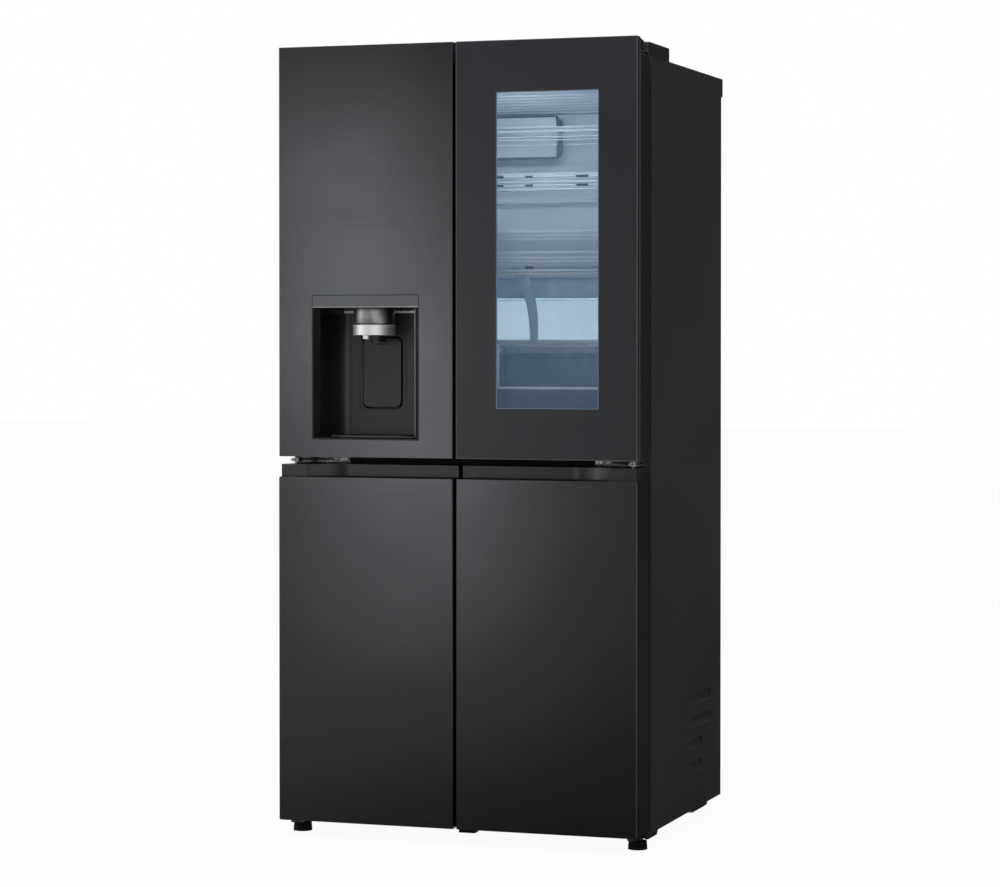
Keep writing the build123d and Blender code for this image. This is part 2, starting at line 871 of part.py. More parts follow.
def add_housing_body(mode=Mode.ADD):
    """The dispenser housing's outside, with the box behind its lever."""
    outline = housing_plan.sketch.moved(Location((0, 0, disp_floor - disp_wall)))
    extrude(outline, amount=disp_ceiling - disp_floor + 2 * disp_wall, mode=mode)
    add_box(
        disp_centre - pocket_half - disp_wall,
        disp_centre + pocket_half + disp_wall,
        disp_back,
        lever_pocket_back + disp_wall,
        pocket_low - disp_wall,
        pocket_high + disp_wall,
        mode,
    )


with BuildPart() as upper_left_panel:
    add_skin(-1, upper_bottom, height)
    cut_notch(-1)
    cutout_levels = (disp_floor - disp_rim, disp_top)
    add_box(disp_left, disp_right, front - 1, front + sheet, *cutout_levels, Mode.SUBTRACT)
save(upper_left_panel, "upper_left_panel")

with BuildPart() as upper_left_core:
    across = (-half + sheet, -door_gap - sheet)
    add_box(*across, front + sheet, door_back, upper_bottom, height)
    add_box(-dike_outer_x, -dike_inner_x, door_back, dike_plane, dike_bottom, dike_top)
    add_box(
        -bin_out, -bin_in, recess_front, dike_plane + 1, bin_recess_floor, hole_top, Mode.SUBTRACT
    )
    cut_notch(-1)
    cut_pin_hole(-1, upper_bottom - 1, upper_bottom + pin_depth + 1)
    cut_pin_hole(-1, notch_floor - pin_depth - 1, notch_floor + 1)
    add_housing_body(Mode.SUBTRACT)
    add_box(disp_left, disp_right, front, front + header_depth, *cutout_levels, Mode.SUBTRACT)
save(upper_left_core, "upper_left_core")

with BuildPart() as dispenser_housing:
    add_housing_body()
    with BuildSketch(Plane.XY.offset(disp_floor)):
        add(cavity_plan.sketch)
    extrude(amount=disp_ceiling - disp_floor, mode=Mode.SUBTRACT)
    add_box(
        disp_centre - pocket_half,
        disp_centre + pocket_half,
        disp_back - 1,
        lever_pocket_back,
        pocket_low,
        pocket_high,
        Mode.SUBTRACT,
    )
    add_box(-half, 0, front - 2 * mouth_reach, front, 0, height, Mode.SUBTRACT)
    pivot_bore = lever_pin_radius + pin_clearance
    add_rod(
        (disp_centre, lever_pivot_y, lever_pivot_z),
        pivot_bore,
        2 * (pocket_half + disp_wall),
        (0, 90, 0),
        Mode.SUBTRACT,
    )
save(dispenser_housing, "dispenser_housing")

header_gap = 0.5
header_chamfer = 0.8
with BuildPart() as dispenser_header:
    across = (disp_left + header_gap, disp_right - header_gap)
    levels = (disp_ceiling + disp_wall, disp_top - header_gap)
    add_box(*across, front, front + header_depth, *levels)
    chamfer(dispenser_header.edges().group_by(Axis.Y)[0], header_chamfer)
save(dispenser_header, "dispenser_header")

nozzle_radius = 42
chute_radius = 30
chute_low = 1116
with BuildPart() as nozzle_body:
    nozzle_middle = (disp_centre, nozzle_y, (nozzle_bottom + disp_ceiling) / 2)
    add_rod(nozzle_middle, nozzle_radius, disp_ceiling - nozzle_bottom)
    chute_middle = (disp_centre, nozzle_y, (chute_low + nozzle_bottom) / 2)
    add_rod(chute_middle, chute_radius, nozzle_bottom - chute_low)
save(nozzle_body, "nozzle_body")

ring_radius = 47.5
ring_round = 1.5
ring_fit = 0.2
tip_radius = 8
tip_length = 10
tip_shift = (-4, -38.5, -3)
with BuildPart() as nozzle_ring:
    ring_height = nozzle_bottom - ring_bottom
    ring_centre = (disp_centre, nozzle_y, ring_bottom + ring_height / 2)
    add_rod(ring_centre, ring_radius, ring_height)
    fillet(nozzle_ring.edges().filter_by(GeomType.CIRCLE), ring_round)
    add_rod(ring_centre, chute_radius + ring_fit, ring_height, mode=Mode.SUBTRACT)
    with Locations((disp_centre, nozzle_y, ring_bottom)):
        with Locations(tip_shift):
            Cylinder(tip_radius, tip_length)
save(nozzle_ring, "nozzle_ring")

lever_standoff = 5
lever_corner = 14
lever_boss_half_x = 40
lever_boss_half_z = 4
with BuildPart() as dispenser_lever:
    lever_front = disp_back - lever_standoff
    with BuildSketch(Plane.XZ.offset(-lever_front - lever_thickness)):
        with Locations((disp_centre, (lever_bottom + lever_top) / 2)):
            RectangleRounded(lever_width, lever_top - lever_bottom, lever_corner)
    extrude(amount=lever_thickness)
    fillet(dispenser_lever.faces().sort_by(Axis.Y)[0].edges(), edge_round)
    add_box(
        disp_centre - lever_boss_half_x,
        disp_centre + lever_boss_half_x,
        lever_front + lever_thickness,
        lever_pivot_y + lever_pin_radius,
        lever_pivot_z - lever_boss_half_z,
        lever_pivot_z + lever_boss_half_z,
    )
    pin_length = 2 * pocket_half + 4
    add_rod((disp_centre, lever_pivot_y, lever_pivot_z), lever_pin_radius, pin_length, (0, 90, 0))
save(dispenser_lever, "dispenser_lever")

tray_half = 90
tray_y = (-350, -262)
tray_height = 6
tray_corner = 6
groove_count = 11
groove_step = 14
groove_size = (66, 6)
groove_depth = 4
with BuildPart() as drip_tray:
    across = (disp_centre - tray_half, disp_centre + tray_half)
    add_box(*across, *tray_y, disp_floor, disp_floor + tray_height)
    fillet(drip_tray.edges().filter_by(Axis.Z), tray_corner)
    with BuildSketch(Plane.XY.offset(disp_floor + tray_height)):
        with Locations((disp_centre, sum(tray_y) / 2)):
            with GridLocations(groove_step, 1, groove_count, 1):
                SlotOverall(*groove_size, rotation=90)
    extrude(amount=-groove_depth, mode=Mode.SUBTRACT)
save(drip_tray, "drip_tray")

# Upper right door: dark front glass on an edge frame, with a window through the core
glass_chamfer = 1
frame_chamfer = 1.5
frame_front = front + front_glass_thickness
frame_back = frame_front + frame_depth
with BuildPart() as front_glass:
    add_box(door_gap, half, front, frame_front, upper_bottom, height)
    chamfer(front_glass.edges().group_by(Axis.Y)[0], glass_chamfer)
save(front_glass, "front_glass")

with BuildPart() as glass_door_frame:
    add_box(door_gap, half, frame_front, frame_back, upper_bottom, height)
    chamfer(glass_door_frame.edges().group_by(Axis.Y)[0], frame_chamfer)
    add_box(hole_left, hole_right, frame_front, frame_back, hole_bottom, hole_top, Mode.SUBTRACT)
save(glass_door_frame, "glass_door_frame")

with BuildPart() as upper_right_core:
    add_box(door_gap, half, frame_back, door_back, upper_bottom, height)
    add_box(window_dike_left, window_dike_right, door_back, dike_plane, dike_bottom, dike_top)
    add_box(hole_left, hole_right, front, dike_plane + 1, hole_bottom, hole_top, Mode.SUBTRACT)
    cut_notch(1)
    cut_pin_hole(1, upper_bottom - 1, upper_bottom + pin_depth + 1)
    cut_pin_hole(1, notch_floor - pin_depth - 1, notch_floor + 1)
save(upper_right_core, "upper_right_core")

with BuildPart() as inner_glass:
    pane = (inner_glass_front, inner_glass_front + inner_glass_thickness)
    add_box(hole_left, hole_right, *pane, hole_bottom, hole_top)
save(inner_glass, "inner_glass")

# Lower doors, whose handle is a scoop behind the panel's top edge
pad_plane = -245
pad_x = (60, 330)
pad_z = (112, 765)
pad_round = 10
lip_back = front + handle_lip
for side, hand in [(-1, "left"), (1, "right")]:
    with BuildPart() as lower_panel:
        add_skin(side, lower_bottom, panel_top)
    save(lower_panel, f"lower_{hand}_panel")

    with BuildPart() as lower_core:
        inner = side * (door_gap + sheet)
        outer = side * (half - sheet)
        add_box(inner, outer, front + sheet, door_back, lower_bottom, panel_top)
        add_box(inner, outer, lip_back, door_back, cap_bottom, panel_top, Mode.SUBTRACT)
        add_box(side * pad_x[0], side * pad_x[1], door_back, pad_plane, *pad_z)
        fillet(lower_core.faces().sort_by(Axis.Y)[-1].edges(), pad_round)
        cut_pin_hole(side, lower_bottom - 1, lower_bottom + pin_depth + 1)
    save(lower_core, f"lower_{hand}_core")

    with BuildPart() as handle_cap:
        inner = side * (door_gap + sheet)
        add_box(inner, side * (half - sheet), lip_back, door_back, cap_bottom, panel_top)
        end_front = front + handle_end_setback
        add_box(inner, side * (half - cap_inset), end_front, door_back, panel_top, cap_top)
        with BuildSketch(Plane.XY.offset(handle_pocket_floor)):
            with BuildLine():
                back = front + handle_depth
                Polyline(
                    (side * handle_curve_end, end_front),
                    (side * handle_curve_end, front),
                    (side * door_gap, front),
                    (side * door_gap, back),
                    (side * handle_curve_start, back),
                )
                curve_ends = [(side * handle_curve_start, back), (side * handle_curve_end, end_front)]
                TangentArc(*curve_ends, tangent=(side, 0))
            make_face()
        extrude(amount=cap_top - handle_pocket_floor + 1, mode=Mode.SUBTRACT)
        cut_pin_hole(side, cap_top - pin_depth - 1, cap_top + 1)
    save(handle_cap, f"lower_{hand}_cap")
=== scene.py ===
import json
import math

import bpy
import mathutils
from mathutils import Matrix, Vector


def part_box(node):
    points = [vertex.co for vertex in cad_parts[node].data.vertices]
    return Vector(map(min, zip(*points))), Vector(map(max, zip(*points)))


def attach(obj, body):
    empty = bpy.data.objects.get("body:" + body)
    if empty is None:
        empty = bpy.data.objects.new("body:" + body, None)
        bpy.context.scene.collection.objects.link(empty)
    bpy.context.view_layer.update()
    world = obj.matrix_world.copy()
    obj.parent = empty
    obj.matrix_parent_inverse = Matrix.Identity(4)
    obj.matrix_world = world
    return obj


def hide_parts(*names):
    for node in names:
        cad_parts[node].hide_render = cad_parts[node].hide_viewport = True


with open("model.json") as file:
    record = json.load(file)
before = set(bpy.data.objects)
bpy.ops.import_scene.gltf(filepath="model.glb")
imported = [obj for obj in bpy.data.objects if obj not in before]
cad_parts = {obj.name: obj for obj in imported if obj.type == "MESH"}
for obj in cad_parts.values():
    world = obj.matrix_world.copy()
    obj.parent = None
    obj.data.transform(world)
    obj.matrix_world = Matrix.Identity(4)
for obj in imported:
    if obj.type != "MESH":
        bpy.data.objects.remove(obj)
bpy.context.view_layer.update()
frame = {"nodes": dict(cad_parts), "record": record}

nodes = frame["nodes"]

# Sizes are in millimetres, and the functions that make shapes and masks turn them into metres
mm = 0.001
white = (1.0, 1.0, 1.0, 1.0)
hands = [(-1.0, "left"), (1.0, "right")]
outward = {"left": "-X", "right": "+X"}
smooth_angle = math.radians(40.0)
recess_back = -257


def span(node):
    """A CAD node's box as ranges along X, Y and Z."""
    return [(low / mm, high / mm) for low, high in zip(*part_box(node))]


def grey(level, tint=(1.0, 1.0, 1.0)):
    """A linear colour of one level, leaning to a tint."""
    return tuple(level * part for part in tint) + (1.0,)


def around(level, swing, tint=(1.0, 1.0, 1.0)):
    """Two linear colours, a share darker and lighter than a level."""
    return grey(level * (1.0 - swing), tint), grey(level * (1.0 + swing), tint)


def maths(operation, place=0):
    """A method that makes a maths node of a value, at its place 0 or 1, and another value."""

    def method(value, other):
        return value.finish.node("ShaderNodeMath", {place: value, 1 - place: other}, operation=operation)

    return method


class Value:
    """A shader socket that takes part in Python sums."""

    __add__ = maths("ADD")
    __rsub__ = maths("SUBTRACT", 1)
    __mul__ = maths("MULTIPLY")
    __rmul__ = maths("MULTIPLY", 1)
    __gt__ = maths("GREATER_THAN")
    __lt__ = maths("LESS_THAN")

    def __init__(self, finish, socket):
        self.finish = finish
        self.socket = socket


class Finish:
    """A procedural material with one Principled surface, whose plain values are given by socket name."""

    def __init__(self, name, **sockets):
        self.name = name
        self.material = bpy.data.materials.new(name)
        self.material.use_nodes = True
        self.tree = self.material.node_tree
        self.shader = self.tree.nodes["Principled BSDF"]
        self.coordinates = self.node("ShaderNodeTexCoord", {}, "Object")
        for key, value in sockets.items():
            self.set(key.replace("_", " "), value)

    def feed(self, socket, value):
        if isinstance(value, Value):
            self.tree.links.new(value.socket, socket)
        else:
            socket.default_value = value

    def node(self, kind, inputs, output=0, **settings):
        """A node with its settings made first, then the values or links of its sockets."""
        made = self.tree.nodes.new(kind)
        for key, value in settings.items():
            setattr(made, key, value)
        for key, value in inputs.items():
            self.feed(made.inputs[key], value)
        return Value(self, made.outputs[output])

    def set(self, socket, value):
        self.feed(self.shader.inputs[socket], value)

    def point(self, scale=None):
        """Object coordinates, stretched along the axes."""
        if scale is None:
            return self.coordinates
        return self.node("ShaderNodeMapping", {"Vector": self.coordinates, "Scale": scale})

    def axis(self, letter):
        """One Object coordinate as a value, in metres."""
        return self.node("ShaderNodeSeparateXYZ", {0: self.coordinates}, letter)

    def noise(self, scale, stretch=None, detail=3.0):
        inputs = {"Vector": self.point(stretch), "Scale": scale, "Detail": detail, "Roughness": 0.55}
        return self.node("ShaderNodeTexNoise", inputs, "Fac")

    def cells(self, scale):
        return self.node("ShaderNodeTexVoronoi", {"Vector": self.coordinates, "Scale": scale}, "Distance")

    def waves(self, scale):
        """Fine bands across the X axis."""
        return self.node("ShaderNodeTexWave", {"Vector": self.coordinates, "Scale": scale}, "Fac")

    def ramp(self, value, *stops):
        """A colour that follows a value from stop to stop, each with a colour or a level of grey."""
        made = self.node("ShaderNodeValToRGB", {0: value}, "Color")
        for element, (place, colour) in zip(made.socket.node.color_ramp.elements, stops):
            element.position = place
            element.color = colour if isinstance(colour, tuple) else grey(colour)
        return made

    def shades(self, value, dark, light):
        """A colour drawn out between two as a noise value rises."""
        return self.ramp(value, (0.3, dark), (0.7, light))

    def spread(self, value, low, high):
        """A noise value drawn out to run from low to high."""
        inputs = {"Value": value, "From Min": 0.3, "From Max": 0.7, "To Min": low, "To Max": high}
        return self.node("ShaderNodeMapRange", inputs)

    def mix(self, mask, first, second):
        """The first colour where the mask is 0, the second where it is 1."""
        return self.node("ShaderNodeMix", {0: mask, 6: first, 7: second}, 2, data_type="RGBA")

    def beyond(self, letter, place):
        """A mask that is 1 past a place along an axis."""
        return self.axis(letter) > place * mm

    def within(self, letter, low, high):
        """A mask that is 1 between two places along an axis."""
        return self.beyond(letter, low) * (self.axis(letter) < high * mm)

    def patch(self, x, z, margin=0.0):
        """A mask of an upright rectangle, less a margin all round."""
        across = self.within("X", x[0] + margin, x[1] - margin)
        return across * self.within("Z", z[0] + margin, z[1] - margin)

    def bump(self, height, strength, distance):
        inputs = {"Height": height, "Strength": strength, "Distance": distance}
        self.set("Normal", self.node("ShaderNodeBump", inputs))

    def surface(self, colour, rough, relief=None):
        """The finish with its colour, and with its roughness and relief from noise values."""
        self.set("Base Color", colour)
        self.set("Roughness", self.spread(*rough))
        if relief:
            self.bump(*relief)
        return self


# Tints of the finishes
steel_tint = (0.96, 1.0, 1.06)
paint_tint = (0.95, 1.0, 1.08)
liner_tint = (0.97, 1.0, 1.02)
glass_tint = (0.84, 1.0, 1.36)
smoke_tint = (0.8, 1.05, 1.25)


def grained(name, grain, dark, light, rough, relief=None, alpha=None, **sockets):
    """A finish whose colour, roughness, relief and density all follow one noise."""
    finish = Finish(name, **sockets)
    noise = finish.noise(*grain)
    if alpha:
        finish.set("Alpha", finish.spread(noise, *alpha))
    return finish.surface(finish.shades(noise, dark, light), (noise, *rough), relief and (noise, *relief))


def plated_steel(name, level):
    """Plated hinge steel with light scuffs."""
    scuffs = (260.0, (0.15, 1.0, 1.0))
    return grained(name, scuffs, *around(level, 0.15), (0.22, 0.42), (0.06, 0.0003), Metallic=1.0)


def smoked_plastic(name, level):
    """Grey-blue plastic of the crispers, the tray and the struts, that lets little through."""
    colours = around(level, 0.1, smoke_tint)
    return grained(name, (24.0,), *colours, (0.2, 0.3), alpha=(0.86, 0.92), IOR=1.3)


def brushed_steel(name, level, roughness):
    """Dark steel with a fine brushing across the door."""
    finish = Finish(name, Metallic=0.92, IOR=1.5)
    streaks = finish.noise(60.0, (0.05, 0.05, 9.0), 4.0)
    fine = finish.noise(420.0, (0.02, 0.02, 4.0), 2.0)
    cloud = finish.noise(3.0)
    shade = streaks * 0.6 + fine * 0.4
    colour = finish.shades(shade, *around(level, 0.12, steel_tint))
    rough = (cloud * 0.4 + streaks * 0.6, roughness - 0.05, roughness + 0.05)
    return finish.surface(colour, rough, (shade, 0.05, 0.0004))


def sheet_paint(name, level, roughness):
    """Dark baked paint on sheet steel, with a slight orange peel."""
    finish = Finish(name, IOR=1.5)
    peel = finish.noise(700.0, detail=2.0)
    cloud = finish.noise(2.5)
    colour = finish.shades(cloud, *around(level, 0.1, paint_tint))
    return finish.surface(colour, (peel, roughness - 0.06, roughness + 0.06), (peel, 0.12, 0.0004))


def zinc_sheet():
    """Galvanised steel with its spangle."""
    finish = Finish("galvanised", Metallic=1.0)
    spangle = finish.cells(90.0)
    grain = finish.noise(300.0)
    colour = finish.ramp(spangle, (0.1, 0.42), (0.75, grey(0.6, (0.97, 1.0, 1.03))))
    return finish.surface(colour, (spangle * 0.5 + grain * 0.5, 0.38, 0.58), (spangle, 0.08, 0.0005))


def moulded_plastic(name, level, roughness, tint=(1.0, 1.0, 1.0), grain_scale=900.0):
    """Moulded plastic with a fine spark-eroded grain."""
    finish = Finish(name, IOR=1.48)
    grain = finish.noise(grain_scale, detail=2.0)
    cloud = finish.noise(6.0)
    shade = cloud * 0.6 + grain * 0.4
    colour = finish.shades(shade, grey(level * 0.92, tint), grey(level * 1.06, tint))
    return finish.surface(colour, (grain, roughness - 0.06, roughness + 0.06), (grain, 0.15, 0.0003))


def insulating_foam():
    """Yellow foam with its fine cells."""
    finish = Finish("foam", Roughness=0.9)
    cells = finish.cells(260.0)
    colours = [(0.1, (0.55, 0.46, 0.24, 1.0)), (0.7, (0.78, 0.69, 0.44, 1.0))]
    finish.set("Base Color", finish.ramp(cells, *colours))
    finish.bump(cells, 0.4, 0.001)
    return finish


def shelf_glass():
    """Toughened glass, greener and denser where it is seen edge on."""
    finish = Finish("shelf_glass", Roughness=0.04, IOR=1.5)
    edge = finish.node("ShaderNodeLayerWeight", {"Blend": 0.35}, "Facing")
    finish.set("Base Color", finish.mix(edge, grey(0.62, (0.9, 1.0, 1.0)), grey(0.3, (0.75, 1.0, 0.95))))
    finish.set("Alpha", finish.spread(finish.noise(14.0), 0.1, 0.2))
    return finish


def lamp_lens():
    """Frosted lens with its row of lamps glowing behind it."""
    finish = Finish("lamp_lens", Roughness=0.5, Emission_Strength=1.0)
    across = finish.waves(9.0)
    finish.set("Base Color", finish.ramp(across, (0.0, 0.7), (1.0, 0.9)))
    finish.set("Emission Color", finish.ramp(across, (0.2, 0.55), (0.9, grey(1.0, (0.94, 0.98, 1.0)))))
    return finish


def edged_liner(name, dark_edge, edge_level=0.0105, gloss=0.5):
    """White moulded liner with a dark part given by a mask: a dark moulding on the door edges, dark paint
    made near black as painted shade on the cabinet's flange, and painted shade on the sides of the duct
    cover.
    """
    finish = Finish(name, IOR=1.48, Specular_IOR_Level=gloss)
    grain = finish.noise(500.0, detail=2.0)
    cloud = finish.noise(6.0)
    pale = finish.shades(cloud * 0.6 + grain * 0.4, grey(0.72, liner_tint), grey(0.82, liner_tint))
    dark = finish.shades(grain, *around(edge_level, 0.14, paint_tint))
    colour = finish.mix(dark_edge(finish), pale, dark)
    return finish.surface(colour, (grain, 0.32, 0.46), (grain, 0.15, 0.0003))


def recess_painted_shade():
    """Black moulding of the dispenser recess, with painted shade: its rim and side walls are painted darker
    than its back wall.
    """
    finish = Finish("recess_painted_shade", IOR=1.48)
    grain = finish.noise(900.0, detail=2.0)
    rim = -305
    # Painted shade: the colour darkens from the back wall towards the rim
    depth = (finish.axis("Y") + -rim * mm) * (1.0 / ((recess_back - rim) * mm)) + grain * 0.08
    colour = finish.ramp(depth, (0.1, 0.003), (1.0, 0.029))
    return finish.surface(colour, (grain, 0.3, 0.4), (grain, 0.15, 0.0003))


def handle_plastic():
    """Smooth black plastic of the handle scoops, with a painted shadow along its foot."""
    finish = Finish("handle_plastic", IOR=1.5)
    grain = finish.noise(600.0, detail=2.0)
    # Painted shadow: near black and rougher along the foot of the scoop, where the pocket is in shade
    foot = finish.axis("Z") < 808.5 * mm
    plain = finish.shades(grain, 0.015, 0.018)
    finish.set("Base Color", finish.mix(foot, plain, grey(0.001)))
    finish.set("Roughness", finish.spread(grain, 0.24, 0.3) + foot * 0.6)
    finish.bump(grain, 0.06, 0.0002)
    return finish


def window_glass():
    """Front glass printed black on its back, but for the clear window and the pale line round it."""
    window = ((97, 331), (962.5, 1654))
    border = 1.4
    window_tint = 0.42
    back = span("front_glass")[1][1] - 1
    finish = Finish("dark_glass", IOR=1.56)
    clear = finish.patch(*window, border)
    cloud = finish.noise(5.0)
    printed = finish.shades(cloud, grey(0.0085, glass_tint), grey(0.0115, glass_tint))
    bordered = finish.mix(finish.patch(*window), printed, grey(0.2, (0.72, 1.0, 1.3)))
    tint = window_tint * (finish.axis("Y") < back * mm)
    finish.set("Alpha", 1.0 - clear * (1.0 - tint))
    return finish.surface(finish.mix(clear, bordered, (0.07, 0.15, 0.26, 1.0)), (cloud, 0.3, 0.36))


def coil_fins():
    """Thin aluminium fins side by side, with dust on them."""
    finish = Finish("coil_aluminium", Metallic=1.0)
    dust = finish.noise(40.0)
    fins = finish.waves(180.0) * 0.5 + dust * 0.5
    return finish.surface(finish.ramp(fins, (0.2, 0.36), (0.8, 0.62)), (dust, 0.35, 0.55))


def door_rim(door, opening=None):
    """A mask of a door's outer edge: all but the inner face within its gasket, and any opening in it."""
    x, (near, _), z = span(f"{door}_gasket")

    def rim(finish):
        edge = 1.0 - finish.patch(x, z, 3.0) * finish.beyond("Y", near - 0.5)
        if opening:
            edge = edge * (1.0 - finish.patch(*opening))
        return edge

    return rim


def shaded_cabinet_rim(finish):
    """A mask of a liner's front flange, on the cabinet's rim: dark paint made near black as painted shade."""
    return finish.axis("Y") < -253.8 * mm


def duct_painted_shade(finish):
    """A mask of the sides of the duct cover, which are painted dark as shade."""
    return finish.beyond("Y", 243) * finish.within("Z", 1540, 1650)


finishes = {finish.name: finish for finish in [
    sheet_paint("case_paint", 0.027, 0.42),
    sheet_paint("compressor_black", 0.012, 0.3),
    zinc_sheet(),
    plated_steel("hinge_steel", 0.58),
    plated_steel("bolt_steel", 0.8),
    brushed_steel("dark_steel", 0.075, 0.215),
    brushed_steel("header_grey", 0.125, 0.3),
    moulded_plastic("black_plastic", 0.016, 0.36),
    moulded_plastic("dispenser_black", 0.012, 0.34),
    moulded_plastic("fan_plastic", 0.05, 0.5),
    moulded_plastic("liner_white", 0.78, 0.34, liner_tint, 500.0),
    moulded_plastic("satin_trim_and_highlight", 0.115, 0.35),
    moulded_plastic("edge_glint_grey", 0.045, 0.35),
    moulded_plastic("seam_black", 0.003, 0.45),
    moulded_plastic("slot_shade_grey", 0.05, 0.4, (0.8, 1.0, 1.2)),
    recess_painted_shade(),
    smoked_plastic("smoked_plastic", 0.27),
    smoked_plastic("tray_plastic", 0.75),
    smoked_plastic("strut_plastic", 0.76),
    insulating_foam(),
    shelf_glass(),
    window_glass(),
    lamp_lens(),
    coil_fins(),
    grained("gasket_rubber", (120.0,), 0.0153, 0.0216, (0.6, 0.78), (0.1, 0.0005)),
    grained("matt_black", (150.0,), 0.0018, 0.003, (0.6, 0.75), (0.1, 0.0004), Specular_IOR_Level=0.1),
    grained("bright_steel", (500.0,), 0.82, 0.95, (0.2, 0.34), (0.05, 0.0002), Metallic=0.35),
    grained("chrome_ring", (80.0,), 0.84, 0.92, (0.42, 0.52), Metallic=0.85),
    grained("soft_chrome", (90.0, (0.1, 1.0, 6.0)), 0.34, 0.46, (0.26, 0.38), (0.05, 0.0002), Metallic=1.0),
    grained("satin_nozzle", (300.0, (0.1, 0.1, 3.0)), 0.3, 0.38, (0.34, 0.46), (0.04, 0.0002), Metallic=1.0),
    grained(
        "copper_pipe", (60.0,), (0.33, 0.15, 0.08, 1.0), (0.62, 0.31, 0.19, 1.0), (0.28, 0.48), Metallic=1.0
    ),
    grained(
        "clear_plastic", (30.0,), grey(0.6, (0.88, 0.98, 1.08)), 0.75, (0.08, 0.2), (0.05, 0.001),
        (0.24, 0.34), IOR=1.49,
    ),
    grained(
        "frosted_plastic", (60.0,), grey(0.8, (0.9, 0.98, 1.05)), grey(0.88, (0.92, 0.98, 1.04)), (0.3, 0.45),
        IOR=1.3, Subsurface_Weight=1.0, Subsurface_Scale=0.006, Subsurface_Radius=(1.0, 1.0, 1.0),
    ),
]}
bin_dark = grey(0.5, (0.85, 1.0, 1.12))
clear_bin = grained("clear_bin", (30.0,), bin_dark, 0.62, (0.1, 0.2), alpha=(0.03, 0.07), IOR=1.3)
pane_dark = grey(0.94, (0.98, 1.0, 1.02))
inner_pane = grained("inner_pane", (9.0,), pane_dark, 0.98, (0.0, 0.01), IOR=1.3, Transmission_Weight=1.0)
scoop = handle_plastic()
# The cabinet's front flange: dark paint, made near black and low in gloss as painted shade in the gaps
# between the doors
cabinet_liner = edged_liner("cabinet_liner", shaded_cabinet_rim, 0.002, 0.12)
window_opening = ((45, 338), (935, 1673))
bin_recess = ((-323, -67), (1238, 1670))
own_finishes = {
    "inner_glass": inner_pane,
    "upper_left_bins": clear_bin,
    "upper_right_bins": clear_bin,
    # The dispenser housing carries painted shade on its rim and side walls
    "dispenser_housing": finishes["recess_painted_shade"],
    "dispenser_lever": moulded_plastic("lever_plastic", 0.031, 0.36),
    "lower_left_cap": scoop,
    "lower_right_cap": scoop,
    "middle_hinges": plated_steel("middle_hinge_steel", 0.19),
    "bottom_hinges": sheet_paint("bottom_hinge_paint", 0.012, 0.4),
    "base_pan": sheet_paint("base_pan_paint", 0.012, 0.45),
    "levelling_foot_left": finishes["matt_black"],
    "levelling_foot_right": finishes["matt_black"],
    "upper_right_core": edged_liner("window_door_liner", door_rim("upper_right", window_opening)),
    "upper_left_core": edged_liner("bin_door_liner", door_rim("upper_left", bin_recess)),
    "lower_left_core": edged_liner("lower_left_liner", door_rim("lower_left"), 0.014),
    "lower_right_core": edged_liner("lower_right_liner", door_rim("lower_right"), 0.014),
    "fridge_liner": cabinet_liner,
    "freezer_liners": cabinet_liner,
    # The duct cover's sides carry painted shade
    "duct_covers": edged_liner("duct_shaded_liner", duct_painted_shade),
}


def paint(piece, finish):
    """A piece with one finish all over."""
    piece.data.materials.clear()
    piece.data.materials.append(finish.material)


for entry in frame["record"]["subparts"]:
    node = entry["node"]
    paint(nodes[node], own_finishes.get(node, finishes[entry["material_slot"]]))


def metres(sizes):
    """Sizes in millimetres as sizes in metres."""
    return [size * mm for size in sizes]


def wider(ends, margin):
    """A range that goes further by a margin at both ends."""
    return ends[0] - margin, ends[1] + margin


def direction(way):
    """A way such as -Y as a unit vector."""
    parts = [0.0, 0.0, 0.0]
    parts["XYZ".index(way[-1])] = -1.0 if way[0] == "-" else 1.0
    return mathutils.Vector(parts)


def deselect():
    """Object mode with nothing selected."""
    if bpy.context.object and bpy.context.object.mode != "OBJECT":
        bpy.ops.object.mode_set(mode="OBJECT")
    bpy.ops.object.select_all(action="DESELECT")


def take(piece):
    """One piece selected and active."""
    deselect()
    piece.select_set(True)
    bpy.context.view_layer.objects.active = piece


def settle(name):
    """The primitive that was just added, with its place in its mesh."""
    piece = bpy.context.object
    piece.name = name
    piece.data.name = name
    bpy.ops.object.transform_apply(location=True, rotation=True, scale=True)
    return piece


def block(name, x, y, z):
    """A box over three ranges, ready to be shaped."""
    deselect()
    bpy.ops.mesh.primitive_cube_add(size=1.0, location=metres(sum(ends) / 2 for ends in (x, y, z)))
    bpy.context.object.scale = metres(abs(ends[1] - ends[0]) for ends in (x, y, z))
    return settle(name)


def rod(name, centre, radius, length, way, sides=32):
    """A cylinder along a way, ready to be shaped."""
    deselect()
    turn = direction("+Z").rotation_difference(direction(way)).to_euler()
    bpy.ops.mesh.primitive_cylinder_add(
        vertices=sides, radius=radius * mm, depth=length * mm, location=metres(centre), rotation=turn
    )
    return settle(name)


def choose(piece, kind, test):
    """Edit mode with only the faces or edges chosen that pass the test."""
    take(piece)
    bpy.ops.object.mode_set(mode="EDIT")
    bpy.ops.mesh.select_mode(type=kind)
    bpy.ops.mesh.select_all(action="DESELECT")
    bpy.ops.object.mode_set(mode="OBJECT")
    for element in piece.data.polygons if kind == "FACE" else piece.data.edges:
        element.select = test(element)
    bpy.ops.object.mode_set(mode="EDIT")


def choose_faces(piece, way):
    """Edit mode with only the faces chosen that look one way, such as -Y, or both ways, such as Y."""
    look = direction(way)
    both = len(way) == 1
    choose(piece, "FACE", lambda face: face.normal.dot(look) > 0.9 or both and face.normal.dot(look) < -0.9)


def choose_edges(piece, test):
    """Edit mode with only the edges chosen whose two ends pass the test."""
    choose(piece, "EDGE", lambda edge: test(*[piece.data.vertices[end].co for end in edge.vertices]))


